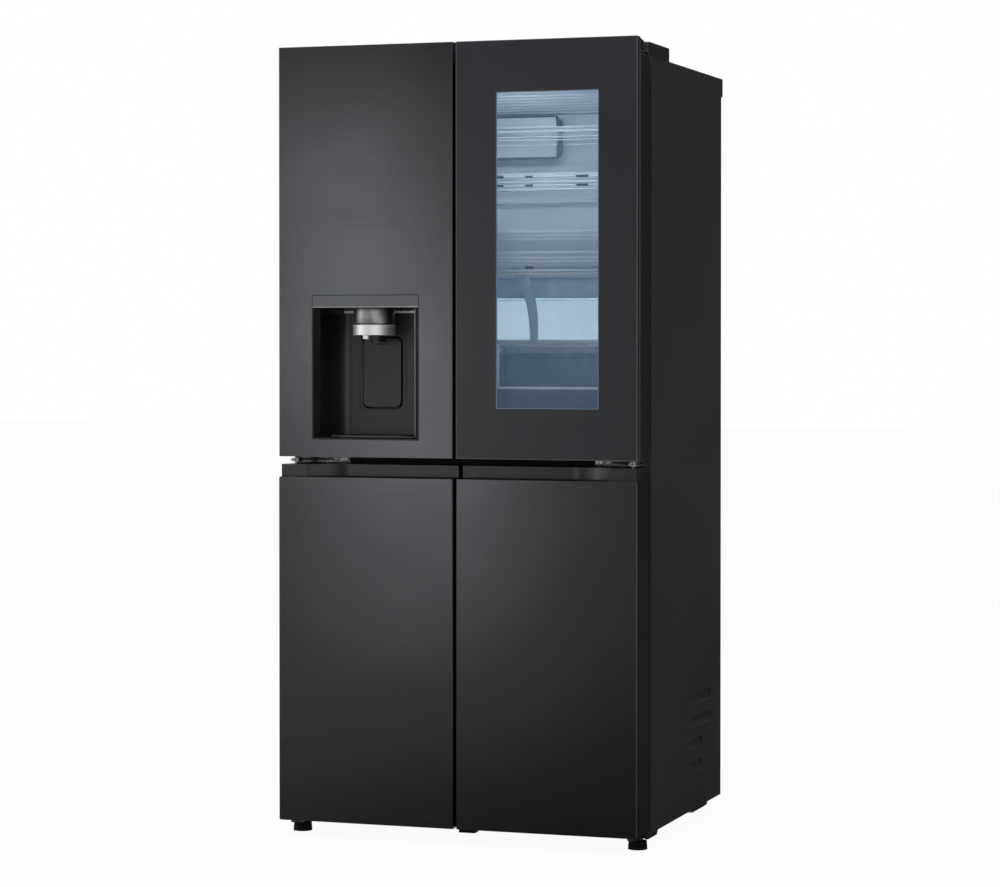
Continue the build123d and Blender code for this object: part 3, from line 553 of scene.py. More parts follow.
def push(move):
    """The chosen faces drawn out along a move."""
    bpy.ops.mesh.extrude_region_move(TRANSFORM_OT_translate={"value": metres(move)})


def step_in(way, border, depth=0.0):
    """The chosen faces drawn in by a border, then sunk by a depth or raised by a negative one."""
    bpy.ops.mesh.inset(thickness=border * mm)
    if depth:
        push(direction(way) * -depth)


def sink(piece, way, border, depth=0.0):
    """The faces that look one way drawn in by a border, then sunk by a depth."""
    choose_faces(piece, way)
    step_in(way, border, depth)
    return piece


def bore(piece, way, wall):
    """A hole right through a piece along an axis, its wall all round."""
    choose_faces(piece, way)
    bpy.ops.mesh.inset(thickness=wall * mm, use_individual=True)
    bpy.ops.mesh.bridge_edge_loops()
    return piece


def taper(piece, way, scale, border=0.0):
    """The faces that look one way made smaller, inside a border where there is one."""
    choose_faces(piece, way)
    if border:
        bpy.ops.mesh.inset(thickness=border * mm, use_individual=True)
    bpy.ops.transform.resize(value=scale)
    return piece


def shift(piece, way, move):
    """The faces that look one way moved."""
    choose_faces(piece, way)
    bpy.ops.transform.translate(value=metres(move))
    return piece


def ring(name, x, y, z, wall, way):
    """A flat frame: a box with a hole right through it along an axis, its wall all round."""
    return bore(block(name, x, y, z), way, wall)


def round_corners(piece, radius, test):
    """The edges whose two ends pass the test, rounded to a large radius."""
    choose_edges(piece, test)
    bpy.ops.mesh.bevel(offset=radius * mm, segments=6, clamp_overlap=True)
    return piece


def round_edges(piece, width, segments):
    """Edges rounded over, and the faces between them shaded smooth."""
    take(piece)
    rounding = piece.modifiers.new("rounded", "BEVEL")
    rounding.width = width * mm
    rounding.segments = segments
    rounding.limit_method = "ANGLE"
    bpy.ops.object.modifier_apply(modifier=rounding.name)
    bpy.ops.object.shade_smooth_by_angle(angle=smooth_angle)
    return piece


def join(name, pieces):
    """Several meshes as one piece."""
    take(pieces[0])
    for piece in pieces:
        piece.select_set(True)
    bpy.ops.object.join()
    joined = bpy.context.object
    joined.name = name
    joined.data.name = name
    return joined


def repeat(pattern, moves):
    """A pattern copied to each move, and the copies joined as one piece of its name."""
    name = pattern.name
    copies = []
    for move in moves:
        take(pattern)
        bpy.ops.object.duplicate()
        copy = bpy.context.object
        copy.location = metres(move)
        bpy.ops.object.transform_apply(location=True, rotation=True, scale=True)
        copies.append(copy)
    take(pattern)
    bpy.ops.object.delete()
    return join(name, copies)


def dress(piece, body, look):
    """A finished piece in its look, riding on a body."""
    paint(piece, finishes[look])
    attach(piece, body)


def fit(piece, width, segments, body, look):
    """A piece with its edges rounded over, in its look, riding on a body."""
    dress(round_edges(piece, width, segments), body, look)


def screws(name, radius, way, places, look="bright_steel"):
    """Raised screw heads with a round recess, that face one way."""
    head = rod(name, direction(way) * radius * 0.25, radius, radius * 0.5, way, 24)
    sink(head, way, radius * 0.3, radius * -0.25)
    step_in(way, radius * 0.35, radius * 0.3)
    fit(repeat(head, places), radius * 0.08, 2, "cabinet", look)


def mirrored(points):
    """Each point and its mirror image across the middle of the cabinet."""
    return [(side * x, y, z) for x, y, z in points for side in (-1.0, 1.0)]


def glass_door_trim_and_highlight():
    """Thin pale strips round the glass door: a painted highlight on the glass's bevelled edge, and a trim
    line at the back of its edge frame.
    """
    x, (front, _), z = span("front_glass")
    frame_back = span("glass_door_frame")[1][1]
    proud = 0.3
    # The strip at the glass is a painted highlight for its bevel; the one at the back of the frame is a trim
    for name, start, depth in [
        ("glass_edge_highlight", front + 0.2, 3.2),
        ("frame_edge_trim", frame_back - 2.4, 4.4),
    ]:
        trim = ring(name, wider(x, proud), (start, start + depth), wider(z, proud), 1.5, "Y")
        fit(trim, 0.2, 1, "upper_right_door", "satin_trim_and_highlight")


def handle_lips():
    """A slim folded lip along the top of each lower panel, in front of the finger pocket."""
    for _, hand in hands:
        x, (front, _), (_, top) = span(f"lower_{hand}_panel")
        lip = block(f"lower_{hand}_lip", wider(x, -2), (front + 1.2, front + 5.6), (top - 3, top + 0.6))
        fit(sink(lip, "+Z", 1.2, 0.4), 0.4, 2, f"lower_{hand}_door", "dark_steel")


def hinge_fittings():
    """Screws and washers of the hinges."""
    middle_level = 843
    pin_x = 395.5
    pin_y = -317
    screws("middle_hinge_bolts", 8, "-Y", mirrored([(301, -258, middle_level)]), "bolt_steel")
    screws("middle_hinge_screws", 4.5, "-Y", mirrored([(322, -258, middle_level)]), "bolt_steel")
    for name, start, end in [("upper_pin_washers", 845, 847.5), ("lower_pin_washers", 838.5, 841)]:
        washer = rod(name, (0, 0, (start + end) / 2), 10, end - start, "+Z")
        washers = repeat(taper(washer, "Z", (1.0, 1.0, 0.7), 2.5), mirrored([(pin_x, pin_y, 0)]))
        fit(washers, 0.3, 2, "cabinet", "bolt_steel")
    screws("top_hinge_screws", 5, "+Z", mirrored([(x, y, 1737) for x in (366, 394) for y in (-215, -150)]))
    screws("bottom_hinge_screws", 5, "-Z", mirrored([(x, y, 24) for x in (360, 385) for y in (-235, -200)]))


def bottom_hinge_flanges():
    """Folded flanges that hang from the bottom hinge plates, under the front of the case."""
    (_, outer), _, (low, _) = span("bottom_hinges")
    for side, hand in hands:
        across = (side * (outer - 7), side * (outer - 0.5))
        flange = block(f"bottom_hinge_flange_{hand}", across, (-257, -182), (low - 5, low + 3))
        fit(sink(flange, outward[hand], 1.5, 0.6), 0.8, 2, "cabinet", "matt_black")


def centre_bracket():
    """The bracket under the middle of the case's front, on the base pan."""
    across = (-19, 19)
    top = 29.8
    lip = block("centre_bracket_lip", across, (-285, -262), (14, top))
    sink(lip, "-Y", 3, 1)
    plate = block("centre_bracket_plate", across, (-264, -205), (26, top))
    sink(plate, "-Z", 6, 1)
    fit(join("centre_bracket", [lip, plate]), 0.8, 2, "cabinet", "matt_black")


def hinge_cover_details():
    """A raised pad and a sunk screw on each hinge cover."""
    (_, right), (front, back), (_, top) = span("hinge_covers")
    middle = right - 45
    for side, hand in hands:
        across = (side * (middle - 30), side * (middle + 30))
        pad = block(f"hinge_cover_pad_{hand}", across, (front + 22, back - 20), (top - 0.5, top + 0.7))
        sink(pad, "+Z", 4, 0.5)
        step_in("+Z", 3, -0.5)
        fit(pad, 0.3, 2, "cabinet", "black_plastic")
    screws("hinge_cover_screws", 4.5, "+Z", mirrored([(middle, back - 11, top - 1.2)]))


def dispenser_trims():
    """Edge strips, light rail, sill and seam of the dispenser's recess; the strip down its right rim is a
    painted highlight.
    """
    door = "upper_left_door"
    x, (front, _), (low, high) = span("dispenser_header")
    edge = block("header_edge", wider(x, -0.5), (front - 0.3, front + 3), (low - 1.4, low + 0.4))
    fit(sink(edge, "-Y", 0.3), 0.3, 2, door, "soft_chrome")

    x, _, z = span("dispenser_housing")
    left, right = x
    floor, ceiling = wider(z, -2.5)
    depth = (recess_back - 6, recess_back - 0.4)
    rail = block("cavity_light_rail", wider(x, -33), depth, (ceiling - 11, ceiling - 5))
    fit(sink(rail, "-Z", 1.2, 1.5), 0.6, 2, door, "bright_steel")

    # Painted highlight: a chrome strip down the bevelled inner edge of the right rim
    depth = (front + 13.4, front + 15.2)
    edge = block("rim_edge_highlight", (right - 13.7, right - 12.7), depth, (floor + 3, ceiling))
    fit(sink(edge, "-Y", 0.2), 0.3, 2, door, "soft_chrome")

    sill = block("cavity_sill", wider(x, -4), (front + 0.4, front + 14), (floor + 0.2, floor + 2.6))
    fit(sink(sill, "+Z", 2, 0.8), 0.6, 2, door, "matt_black")
    bead = block("sill_bead", (left + 62, right - 16), (front + 14, front + 15.4), (floor + 2.2, floor + 4))
    fit(sink(bead, "-Y", 0.3), 0.3, 2, door, "satin_trim_and_highlight")

    upright = (floor - 3.4, high + 0.9)
    seam = ring("dispenser_seam", wider(x, 0.9), (front - 0.15, front + 3), upright, 1.6, "Y")
    fit(seam, 0.1, 1, door, "seam_black")


def tray_grille():
    """Bars over the drip tray."""
    x, y, (_, top) = span("drip_tray")
    bars = 10
    step = 14
    first = (sum(x) - (bars - 1) * step) / 2
    bar = block("tray_bars", (-2.2, 2.2), wider(y, -11), (top - 0.4, top + 1.2))
    sink(bar, "+Z", 0.8)
    places = [(first + index * step, 0, 0) for index in range(bars)]
    fit(repeat(bar, places), 0.6, 2, "upper_left_door", "dispenser_black")


def nozzle_fittings():
    """Lip, sleeve and spout of the nozzle."""
    (left, right), _, (_, ring_top) = span("nozzle_ring")
    nozzle_top = span("nozzle_body")[2][1]
    nozzle_x = (left + right) / 2
    nozzle_y = -310.5
    outer = (right - left) / 2
    for name, radius, low, high, wall, look in [
        ("nozzle_lip", outer + 0.4, ring_top - 1.6, ring_top + 0.6, 3, "bright_steel"),
        ("nozzle_sleeve", outer - 1.2, ring_top + 3.4, nozzle_top - 0.2, 4, "satin_nozzle"),
    ]:
        tube = rod(name, (nozzle_x, nozzle_y, (low + high) / 2), radius, high - low, "+Z", 64)
        fit(bore(tube, "Z", wall), 0.6, 2, "upper_left_door", look)
    spout = rod("nozzle_spout", (nozzle_x, nozzle_y, 1113), 26, 10, "+Z", 48)
    fit(sink(spout, "-Z", 5, 7), 0.8, 2, "upper_left_door", "dispenser_black")


def lever_details():
    """A ridge on the lever, and a moulded frame on the back wall, a narrow groove away from it."""
    x, (front, _), z = span("dispenser_lever")
    middle = sum(x) / 2
    upright = (z[1] - 16, z[1] - 12.5)
    ridge = block("lever_ridge", (middle - 11, middle + 11), (front - 0.9, front + 0.4), upright)
    fit(sink(ridge, "-Y", 0.7, 0.6), 0.3, 2, "lever", "black_plastic")

    wall = 8
    hole = (-258.5, -161.9)
    depth = (recess_back - 0.9, recess_back + 0.5)
    upright = wider((z[0] - 3.4, z[1] + 2.4), wall)
    surround = ring("lever_surround", wider(hole, wall), depth, upright, wall, "Y")
    middle = sum(hole) / 2 * mm
    reach = (hole[1] + 1) * mm - middle
    round_corners(surround, 15, lambda a, b: abs(a.y - b.y) > 1 * mm and abs(a.x - middle) < reach)
    fit(surround, 0.4, 2, "upper_left_door", "recess_painted_shade")


def hinge_pin_caps():
    """Sloping caps on the upper doors, over the pins of the top hinges."""
    _, (_, front), (_, top) = span("glass_door_frame")
    rear_part = (front + 30) * mm
    upper_part = (top - 5) * mm
    depth = (front + 2.1, front + 37)
    for side, hand in hands:
        cap = block(f"hinge_pin_cap_{hand}", (side * 352, side * 417), depth, (top - 25, top - 0.4))
        choose_edges(cap, lambda a, b: min(a.y, b.y) > rear_part and min(a.z, b.z) > upper_part)
        bpy.ops.transform.translate(value=metres((0, 0, -6)))
        fit(cap, 1.5, 3, f"upper_{hand}_door", "seam_black")


def panel_edge_glints():
    """Slim beads down the outer front edge of the lower panels, in their own grey as a painted glint."""
    for side, hand in hands:
        x, (front, _), (low, high) = span(f"lower_{hand}_panel")
        outer = max(x, key=abs)
        across = (outer - side * 1.6, outer + side * 0.3)
        # Painted glint: a slim bead that stands in for the light along the panel's outer edge
        bead = block(f"lower_{hand}_bead", across, (front + 0.3, front + 2.2), (low + 2, high - 2))
        fit(sink(bead, "-Y", 0.4), 0.4, 2, f"lower_{hand}_door", "edge_glint_grey")


def bellows_gaskets():
    """Door gaskets as a foot, a narrow neck and a magnet head."""
    wall = 14
    slim = 3
    for door in ("upper_left", "upper_right", "lower_left", "lower_right"):
        node = f"{door}_gasket"
        x, (near, far), z = span(node)
        foot = ring("foot", x, (near, near + 4), z, wall, "Y")
        neck = ring("neck", wider(x, -slim), (near + 4, far - 7), wider(z, -slim), wall - 2 * slim, "Y")
        head = ring("head", x, (far - 7, far), z, wall, "Y")
        gasket = join(f"{door}_bellows", [foot, neck, head])
        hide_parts(node)
        fit(gasket, 1.2, 2, f"{door}_door", "gasket_rubber")


glass_door_trim_and_highlight()
handle_lips()
hinge_fittings()
bottom_hinge_flanges()
centre_bracket()
hinge_cover_details()
dispenser_trims()
tray_grille()
nozzle_fittings()
lever_details()
hinge_pin_caps()
panel_edge_glints()
bellows_gaskets()


def bin_rails(door, levels):
    """Pale rims and rails round a door's bins."""
    node = f"{door}_bins"
    x, y, _ = span(node)
    proud = 0.6
    rails = []
    for level in levels:
        rail = ring("rail", wider(x, proud), wider(y, proud), level, 3.4, "Z")
        rails.append(shift(rail, "+Z", (0, 0, -0.4)))
    fit(join(f"{node}_rails", rails), 0.7, 2, f"{door}_door", "frosted_plastic")


def bin_slots(door, places):
    """Slots in the base rails of a door's bins, painted dark grey as the shade inside them."""
    node = f"{door}_bins"
    face = span(node)[1][0] - 0.6
    slots = []
    for left, right, low, high in places:
        slot = block("slot", (left, right), (face - 0.5, face + 0.5), (low, high))
        slots.append(sink(slot, "-Y", 0.8, 0.4))
    fit(join(f"{node}_slots", slots), 0.3, 1, f"{door}_door", "slot_shade_grey")


def ceiling_ribs():
    """Shallow ribs across the fridge ceiling, in front of its lamp."""
    ceiling = 1688.5
    rib = block("ceiling_ribs", (-352, 352), (-3, 3), (ceiling - 3.5, ceiling))
    taper(rib, "-Z", (1.0, 0.55, 1.0))
    places = [(0, y, 0) for y in range(-216, -140, 24)]
    fit(repeat(rib, places), 0.8, 2, "cabinet", "liner_white")


def ceiling_panel():
    """Ribbed sloping panel between the ceiling and the back wall."""
    front = 40
    back = 283.2
    high = 1688.2
    low = 1655
    under = high - 2
    spaces = 8
    panel = block("ceiling_panel", (-357, 357), (front, back), (under, high))
    shift(panel, "+Y", (0, 0, low - high))
    rib = block("ceiling_panel_ribs", (-350, 350), (-4, 4), (-3.5, 1))
    taper(rib, "-Z", (1.0, 0.4, 1.0))
    run = (back - front) / spaces
    drop = (low - high) / spaces
    places = [(0, front + run * step, under + drop * step) for step in range(1, spaces)]
    ribs = round_edges(repeat(rib, places), 0.6, 2)
    dress(join("ceiling_panel", [round_edges(panel, 0.8, 2), ribs]), "cabinet", "liner_white")


def lamp_bezel():
    """Bezel and diffuser bars round the ceiling lamp."""
    x, y, (low, high) = span("ceiling_lamp")
    margin = 6
    bezel = ring("lamp_bezel", wider(x, margin), wider(y, margin), (high - 5, high - 0.2), margin + 1, "Z")
    fit(bezel, 1.5, 3, "cabinet", "liner_white")
    bar = block("lamp_bars", (-1.5, 1.5), wider(y, -margin), (low - 1.2, low + 0.4))
    taper(bar, "-Z", (0.5, 0.97, 1.0))
    places = [(32 * step, 0, 0) for step in range(-4, 5)]
    dress(repeat(bar, places), "cabinet", "frosted_plastic")


def duct_face():
    """Raised outline round the front of the air duct cover."""
    front = 240.5
    outline = ring("duct_outline", (-190, 45), (front - 2.2, front + 0.4), (1546, 1647), 3, "Y")
    fit(round_corners(outline, 12, lambda a, b: abs(a.y - b.y) > 1 * mm), 0.5, 2, "cabinet", "liner_white")


def shelf_trims():
    """Moulded front and rear trims on the glass shelves, and front trims on the freezer shelves."""
    x, _, _ = span("glass_shelves")
    shelves = [("upper_shelf", 1449, -200), ("lower_shelf", 1275, -200), ("crisper_cover", 1108, -165)]
    for name, level, front in shelves:
        for end, depth, look in [
            ("front", (front - 4, front + 10), "frosted_plastic"),
            ("rear", (256, 264), "liner_white"),
        ]:
            trim = block(f"{name}_{end}_trim", wider(x, -1), depth, (level - 3, level + 5.5))
            fit(taper(trim, "Y", (1.0, 0.86, 0.8), 2.5), 1, 3, "cabinet", look)
    for side, hand in hands:
        trim = block(f"freezer_shelf_trim_{hand}", (side * 27.5, side * 357.5), (-156, -140), (569, 583))
        fit(sink(trim, "-Y", 3, 1.5), 1.5, 3, "cabinet", "frosted_plastic")


def deli_tray():
    """Shallow smoked tray that hangs under the lower shelf, with a pale grip."""
    across = (-352, 352)
    shell = block("deli_tray", across, (-150, 240), (1207, 1262))
    fit(sink(shell, "+Z", 3, 52), 1.2, 2, "cabinet", "tray_plastic")
    grip = block("deli_tray_grip", across, (-158, -150.2), (1252, 1263))
    fit(shift(grip, "-Z", (0, 3, 0)), 1.5, 3, "cabinet", "frosted_plastic")


def shelf_struts():
    """Curved struts that stand on the crisper cover and carry the lower shelf's front."""
    steps = 12
    curve = 2.6
    foot_x = 119
    foot_z = 1113
    lean = -37
    rise = 155
    for side, hand in hands:
        across = (side * (foot_x - 8), side * (foot_x + 8))
        strut = block(f"shelf_strut_{hand}", across, (-172, -160), (foot_z - 2, foot_z))
        for step in range(steps):
            bend = ((step + 1) / steps) ** curve - (step / steps) ** curve
            top = max(vertex.co.z for vertex in strut.data.vertices) - 0.01 * mm
            choose(strut, "FACE", lambda face: face.center.z > top and face.normal.z > 0.5)
            push((side * lean * bend, 0, rise / steps))
            bpy.ops.transform.resize(value=(1.05, 1.0, 1.0))
            deselect()
        fit(strut, 1.5, 2, "cabinet", "strut_plastic")


def drawer_fronts():
    """Front panels of the drawers, and ribs under their pull lips."""
    ribs = 8
    for kind, look in [
        ("crisper", "smoked_plastic"),
        ("freezer_drawer_upper", "frosted_plastic"),
        ("freezer_drawer_lower", "frosted_plastic"),
    ]:
        for _, hand in hands:
            node = f"{kind}_{hand}"
            x, (front, _), (low, high) = span(node)
            wall = front + 12
            panel = block(f"{node}_panel", wider(x, -2), (wall - 4, wall - 0.2), (low + 2, high - 18))
            sink(panel, "-Y", 9, 1.6)
            step_in("-Y", 5, -1.2)
            fit(panel, 0.9, 2, node, look)
            rib = block(f"{node}_ribs", (-1.2, 1.2), (front + 2, wall - 0.5), (high - 15, high - 4.2))
            shift(rib, "-Z", (0, 2.5, 0))
            first, last = wider(x, -15)
            step = (last - first) / (ribs - 1)
            places = [(first + index * step, 0, 0) for index in range(ribs)]
            dress(repeat(rib, places), node, look)


left_rails = [
    (1544, 1551), (1530, 1534), (1523, 1526), (1448.5, 1453), (1461, 1466), (1324, 1331), (1312, 1315),
    (1249.5, 1254), (1262, 1266),
]
right_rails = [
    (1573, 1581), (1561, 1565), (1555, 1558), (1474, 1479), (1462, 1468), (1454, 1459), (1445.5, 1449),
    (1348, 1353), (1341, 1345), (1333, 1337), (1304, 1308), (1292, 1296), (1284, 1288), (1264, 1268),
    (1257.5, 1261), (1004, 1009), (944.5, 949),
]
slot_widths = [(72, 95), (145, 163), (262, 290)]
right_slots = [(*ends, low, low + 5) for low in (1468.5, 1449.2) for ends in slot_widths]
right_slots.append((145, 163, 1269, 1275))
bin_rails("upper_left", left_rails)
bin_rails("upper_right", right_rails)
bin_slots("upper_right", right_slots)
ceiling_ribs()
ceiling_panel()
lamp_bezel()
duct_face()
shelf_trims()
deli_tray()
shelf_struts()
drawer_fronts()


def louvre_lips():
    """Rolled lip along the lower edge of each louvre."""
    outer = span("right_side_panel")[0][1]
    start = 75
    for side, hand in hands:
        across = (side * (outer - 1.2), side * (outer + 0.5))
        lips = []
        for level, length in [(270, 185), (218, 185), (166, 103), (114, 103)]:
            lip = block("lip", across, (start, start + length), (level - 1.2, level + 1.6))
            lips.append(shift(lip, "+Z", (side * -0.4, 0, 0)))
        fit(join(f"louvre_lips_{hand}", lips), 0.4, 2, "cabinet", "case_paint")


def rear_details():
    """Screws and hems round the back panel and the machine cover, and ribs on the rear spacers."""
    face = 350
    places = mirrored([(406, face, level) for level in (330, 560, 790, 1020, 1250, 1480, 1660)])
    places += [(x, face, 1722) for x in (-250, -85, 85, 250)]
    screws("back_panel_screws", 4.5, "+Y", places)
    places = mirrored([(404, face, level) for level in (48, 165, 286)])
    places += [(x, face, level) for x in (-135, 135) for level in (42, 291)]
    screws("machine_cover_screws", 4.5, "+Y", places)
    for name, upright in [("back_panel_hem", (301, 1731)), ("machine_cover_hem", (33, 299))]:
        hem = ring(name, (-415.5, 415.5), (face - 0.4, face + 1.2), upright, 5, "Y")
        fit(sink(hem, "+Y", 1.2, -0.5), 0.4, 2, "cabinet", "galvanised")
    _, (_, back), z = span("rear_spacers")
    rib = block("spacer_ribs", (-1.6, 1.6), (back - 1, back + 0.8), wider(z, -5))
    taper(rib, "+Y", (0.5, 1.0, 0.94))
    places = mirrored([(342 + 9 * index, 0, 0) for index in range(8)])
    fit(repeat(rib, places), 0.4, 2, "cabinet", "black_plastic")


def foot_details():
    """Rubber sole, knurled wheel and thread of each levelling foot."""
    radius = 21
    for _, hand in hands:
        body = f"foot_{hand}"
        x, y, _ = span(f"levelling_foot_{hand}")
        middle = (sum(x) / 2, sum(y) / 2)
        sole = rod(f"foot_sole_{hand}", (*middle, 1.6), radius + 0.5, 3, "+Z", 48)
        fit(bore(sole, "Z", 5), 0.7, 2, body, "matt_black")
        wheel = rod(f"foot_wheel_{hand}", (*middle, 11), radius - 0.4, 15, "+Z", 48)
        sink(wheel, "+Z", 4, 2)
        choose(wheel, "FACE", lambda face: abs(face.normal.z) < 0.1)
        bpy.ops.mesh.inset(thickness=0.7 * mm, depth=-0.6 * mm, use_individual=True)
        fit(wheel, 0.3, 1, body, "matt_black")
        turn = rod(f"foot_thread_{hand}", (*middle, 0), 5.6, 1, "+Z", 24)
        taper(turn, "Z", (0.88, 0.88, 1.0))
        fit(repeat(turn, [(0, 0, 21.6), (0, 0, 23)]), 0.1, 1, body, "bright_steel")


def roller_details():
    """Tyre and hub of each rear roller."""
    for _, hand in hands:
        centre = [sum(ends) / 2 for ends in span(f"rear_roller_{hand}")]
        tyre = rod(f"roller_tyre_{hand}", centre, 20, 14, "+X", 48)
        fit(bore(tyre, "X", 4), 1.2, 3, f"roller_{hand}", "gasket_rubber")
        hub = rod(f"roller_hub_{hand}", centre, 8, 18.8, "+X")
        fit(taper(hub, "X", (0.94, 1.0, 1.0), 2.2), 0.5, 2, f"roller_{hand}", "fan_plastic")


def pipe(name, points, radius):
    """A bent tube: a line drawn out point by point, its corners rounded, then given its thickness."""
    deselect()
    bpy.ops.mesh.primitive_plane_add(size=1 * mm, location=metres(points[0]))
    line = settle(name)
    take(line)
    bpy.ops.object.mode_set(mode="EDIT")
    bpy.ops.mesh.select_mode(type="VERT")
    bpy.ops.mesh.select_all(action="SELECT")
    bpy.ops.mesh.merge(type="CENTER")
    for start, end in zip(points, points[1:]):
        push([b - a for a, b in zip(start, end)])
    bpy.ops.mesh.select_all(action="SELECT")
    bpy.ops.mesh.bevel(offset=radius * 4 * mm, segments=5, affect="VERTICES")
    take(line)
    bpy.ops.object.convert(target="CURVE")
    line = bpy.context.object
    line.data.bevel_depth = radius * mm
    line.data.bevel_resolution = 3
    line.data.use_fill_caps = True
    bpy.ops.object.convert(target="MESH")
    tube = bpy.context.object
    tube.name = name
    bpy.ops.object.shade_smooth_by_angle(angle=smooth_angle)
    dress(tube, "cabinet", "copper_pipe")


def refrigerant_pipes():
    """Pipes between the compressor, the condenser and the cabinet's back."""
    radius = 3.2
    turns = [(-235, 232, 165), (-235, 232, 205), (-235, 300, 205), (40, 300, 205), (40, 178, 205)]
    pipe("discharge_pipe", turns + [(72, 178, 205)], radius)
    turns = [(-170, 232, 150), (-120, 232, 150), (-120, 320, 150), (-120, 320, 262), (-60, 320, 262)]
    pipe("suction_pipe", turns, radius)
    pipe("liquid_pipe", [(328, 178, 60), (350, 178, 60), (350, 310, 60), (350, 310, 262)], radius)


def lower_door_mouldings():
    """Moulded frames and ribs on the inner faces of the freezer doors."""
    face = -245
    for side, hand in hands:
        body = f"lower_{hand}_door"
        x = sorted((side * 72, side * 318))
        moulding = ring(f"lower_{hand}_moulding", x, (face - 0.5, face + 3.5), (120, 770), 16, "Y")
        fit(sink(moulding, "+Y", 4, -1.5), 1.2, 3, body, "liner_white")
        rib = block(f"lower_{hand}_ribs", wider(x, -30), (face - 0.5, face + 3), (-5, 5))
        taper(rib, "+Y", (0.98, 1.0, 0.5))
        places = [(0, 0, 190 + 85 * index) for index in range(7)]
        fit(repeat(rib, places), 1, 2, body, "liner_white")


louvre_lips()
rear_details()
foot_details()
roller_details()
refrigerant_pipes()
lower_door_mouldings()


def studio_floor():
    """Pale floor that shows near white, with the object's soft shadow on it."""
    deselect()
    bpy.ops.mesh.primitive_plane_add(size=60.0, location=(0.0, 0.0, -1 * mm))
    floor = bpy.context.object
    floor.name = "studio_floor"
    finish = Finish("studio_floor", Roughness=0.8, Specular_IOR_Level=0.0)
    speckle = finish.noise(3.0)
    finish.set("Base Color", finish.shades(speckle, 0.86, 0.9))
    glow = finish.node("ShaderNodeEmission", {"Color": white, "Strength": 1.0})
    light_path = finish.tree.nodes.new("ShaderNodeLightPath")
    seen, glossy, through = [Value(finish, light_path.outputs[kind]) for kind in bright_rays]
    surface = Value(finish, finish.shader.outputs[0])
    share = (seen + glossy + through) * floor_glow
    mixed = finish.node("ShaderNodeMixShader", {0: share, 1: surface, 2: glow})
    finish.feed(finish.tree.nodes["Material Output"].inputs["Surface"], mixed)
    paint(floor, finish)


def studio_world():
    """White surroundings for the camera, metal and glass, and a plain soft light on the rest."""
    world = bpy.data.worlds.new("studio")
    bpy.context.scene.world = world
    world.use_nodes = True
    tree = world.node_tree
    light_path = tree.nodes.new("ShaderNodeLightPath")
    seen, *others = [light_path.outputs[kind] for kind in bright_rays]
    for other in others:
        total = tree.nodes.new("ShaderNodeMath")
        total.operation = "ADD"
        tree.links.new(seen, total.inputs[0])
        tree.links.new(other, total.inputs[1])
        seen = total.outputs[0]
    strength = tree.nodes.new("ShaderNodeMapRange")
    tree.links.new(seen, strength.inputs["Value"])
    strength.inputs["To Min"].default_value = world_light
    strength.inputs["To Max"].default_value = 1.0
    background = tree.nodes["Background"]
    tree.links.new(strength.outputs[0], background.inputs["Strength"])
    background.inputs["Color"].default_value = white


def facing(place, target):
    """The turn of a lamp or a card that faces a target."""
    return (mathutils.Vector(target) - mathutils.Vector(place)).to_track_quat("-Z", "Y").to_euler()


def soft_box(name, place, target, width, height, power):
    """A large soft lamp that faces a target."""
    lamp = bpy.data.lights.new(name, "AREA")
    lamp.shape = "RECTANGLE"
    lamp.size = width
    lamp.size_y = height
    lamp.energy = power
    holder = bpy.data.objects.new(name, lamp)
    bpy.context.scene.collection.objects.link(holder)
    holder.location = place
    holder.rotation_euler = facing(place, target)
    return lamp


def inside_lamp(name, place, target, width, height, power):
    """A cool lamp inside the fridge, its sizes in millimetres."""
    lamp = soft_box(name, metres(place), metres(target), width * mm, height * mm, power)
    lamp.color = (0.72, 0.88, 1.0)


def card_cloth(name, *shades):
    """Dark cloth of the studio cards, its shades given from one side to the other."""
    finish = Finish(name, Roughness=1.0, Specular_IOR_Level=0.0)
    side = finish.axis("X") + finish.noise(2.0) * 0.02 + 0.5
    finish.set("Base Color", finish.ramp(side, *shades))
    return finish


def dark_card(name, place, target, width, height, cloth):
    """A dark studio card, seen only in reflections, that keeps the steel and the glass dark."""
    deselect()
    bpy.ops.mesh.primitive_plane_add(size=1.0, location=place, rotation=facing(place, target))
    card = bpy.context.object
    card.name = name
    card.scale = (width, height, 1.0)
    paint(card, cloth)
    for ray in ("camera", "diffuse", "transmission", "shadow"):
        setattr(card, f"visible_{ray}", False)


def photograph_camera():
    """Camera at the photograph's angle, fitted to the edges of the doors and the case."""
    camera = bpy.data.cameras.new("camera")
    camera.sensor_width = 36.0
    camera.lens = 107.2
    camera.shift_y = camera_shift
    holder = bpy.data.objects.new("camera", camera)
    bpy.context.scene.collection.objects.link(holder)
    holder.location = camera_place
    holder.rotation_euler = (math.radians(90.0 - camera_pitch), 0.0, math.radians(camera_yaw))
    bpy.context.scene.camera = holder


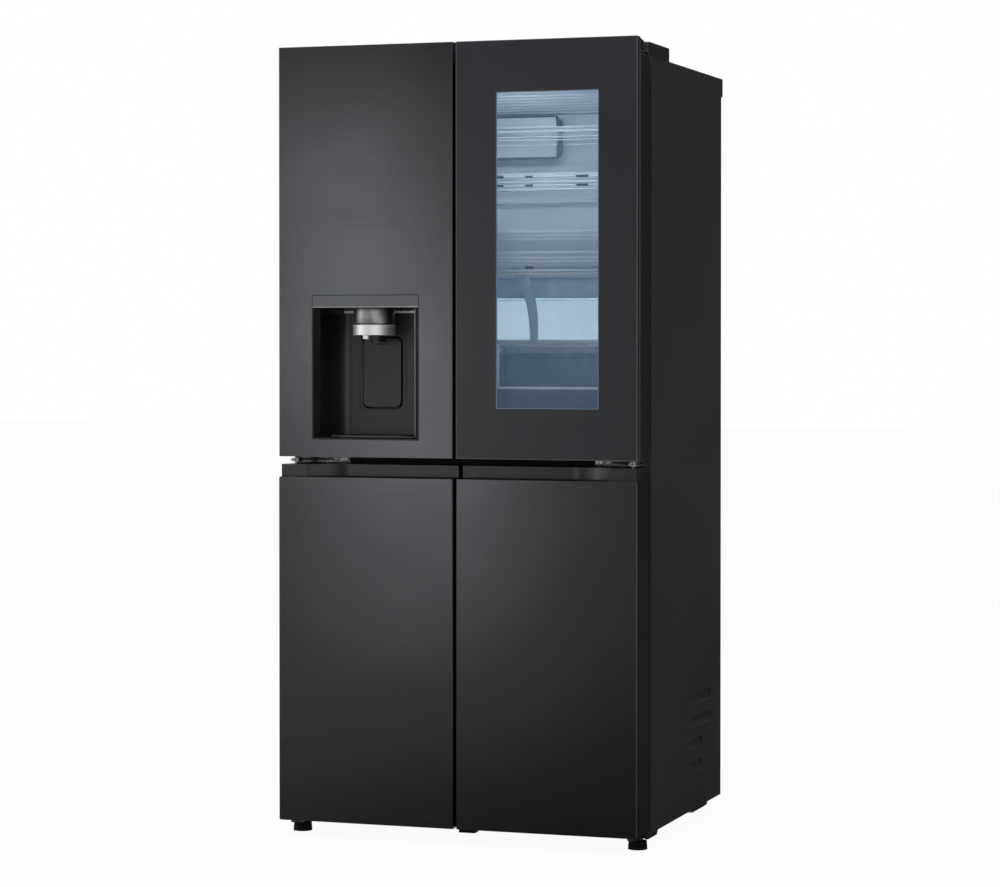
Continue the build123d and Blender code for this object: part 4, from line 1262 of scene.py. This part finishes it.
bright_rays = ("Is Camera Ray", "Is Glossy Ray", "Is Transmission Ray")
floor_glow = 0.95
world_light = 0.6
camera_place = (2.205, -6.529, 1.112)
camera_yaw = 18.81
camera_pitch = 0.9
camera_shift = -0.0564

plain_cloth = card_cloth("card_cloth", (0.25, 0.16), (0.75, 0.02))
front_cloth = card_cloth("front_cloth", (0.43, 0.16), (1.0, 0.067))
side_cloth = card_cloth("side_cloth", (0.25, 0.22), (0.75, 0.06))
floor_cloth = card_cloth("floor_cloth", (0.13, 0.02), (0.41, 0.43))
studio_floor()
studio_world()
soft_box("front_light", (-2.7, -6.5, 1.5), (-0.17, -0.37, 1.28), 0.4, 1.3, 6.75)
soft_box("low_front_light", (-2.35, -6.5, 0.6), (-0.05, -0.37, 0.9), 0.4, 1.4, 6.6)
soft_box("left_light", (-5.0, -3.2, 1.5), (0.0, -0.3, 1.0), 1.0, 1.8, 14.0)
soft_box("top_light", (-0.6, -1.6, 4.2), (0.0, 0.0, 0.9), 2.4, 2.0, 60.0)
dark_card("front_card", (-3.5, -8.5, 1.5), (-3.5, 0.0, 1.5), 7.0, 7.0, front_cloth)
dark_card("floor_card", (-2.1, -4.4, 0.002), (-2.1, -4.4, 1.0), 5.8, 8.0, floor_cloth)
dark_card("right_card", (6.5, -2.2, 2.0), (0.0, -2.2, 2.0), 8.0, 7.0, plain_cloth)
dark_card("side_card", (4.5, 6.0, 2.0), (0.0, 0.0, 1.0), 9.0, 7.0, plain_cloth)
dark_card("rear_floor_card", (4.42, 3.5, 0.002), (4.42, 3.5, 1.0), 8.0, 9.0, side_cloth)
inside_lamp("ceiling_glow", (0, -95, 1676), (0, 60, 1300), 300, 60, 1.5)
inside_lamp("tray_glow", (0, -60, 1182), (0, 280, 1145), 600, 30, 1.5)
inside_lamp("middle_glow", (0, -150, 1440), (0, 280, 1380), 600, 20, 0.3)
for lamp_name, level, power in [
    ("bin_glow", 1664, 0.32),
    ("middle_bin_glow", 1542, 0.22),
    ("lower_bin_glow", 1436, 0.08),
]:
    inside_lamp(lamp_name, (190, -288, level), (190, -268, level - 300), 250, 26, power)
photograph_camera()
bpy.context.scene.view_settings.view_transform = "Standard"
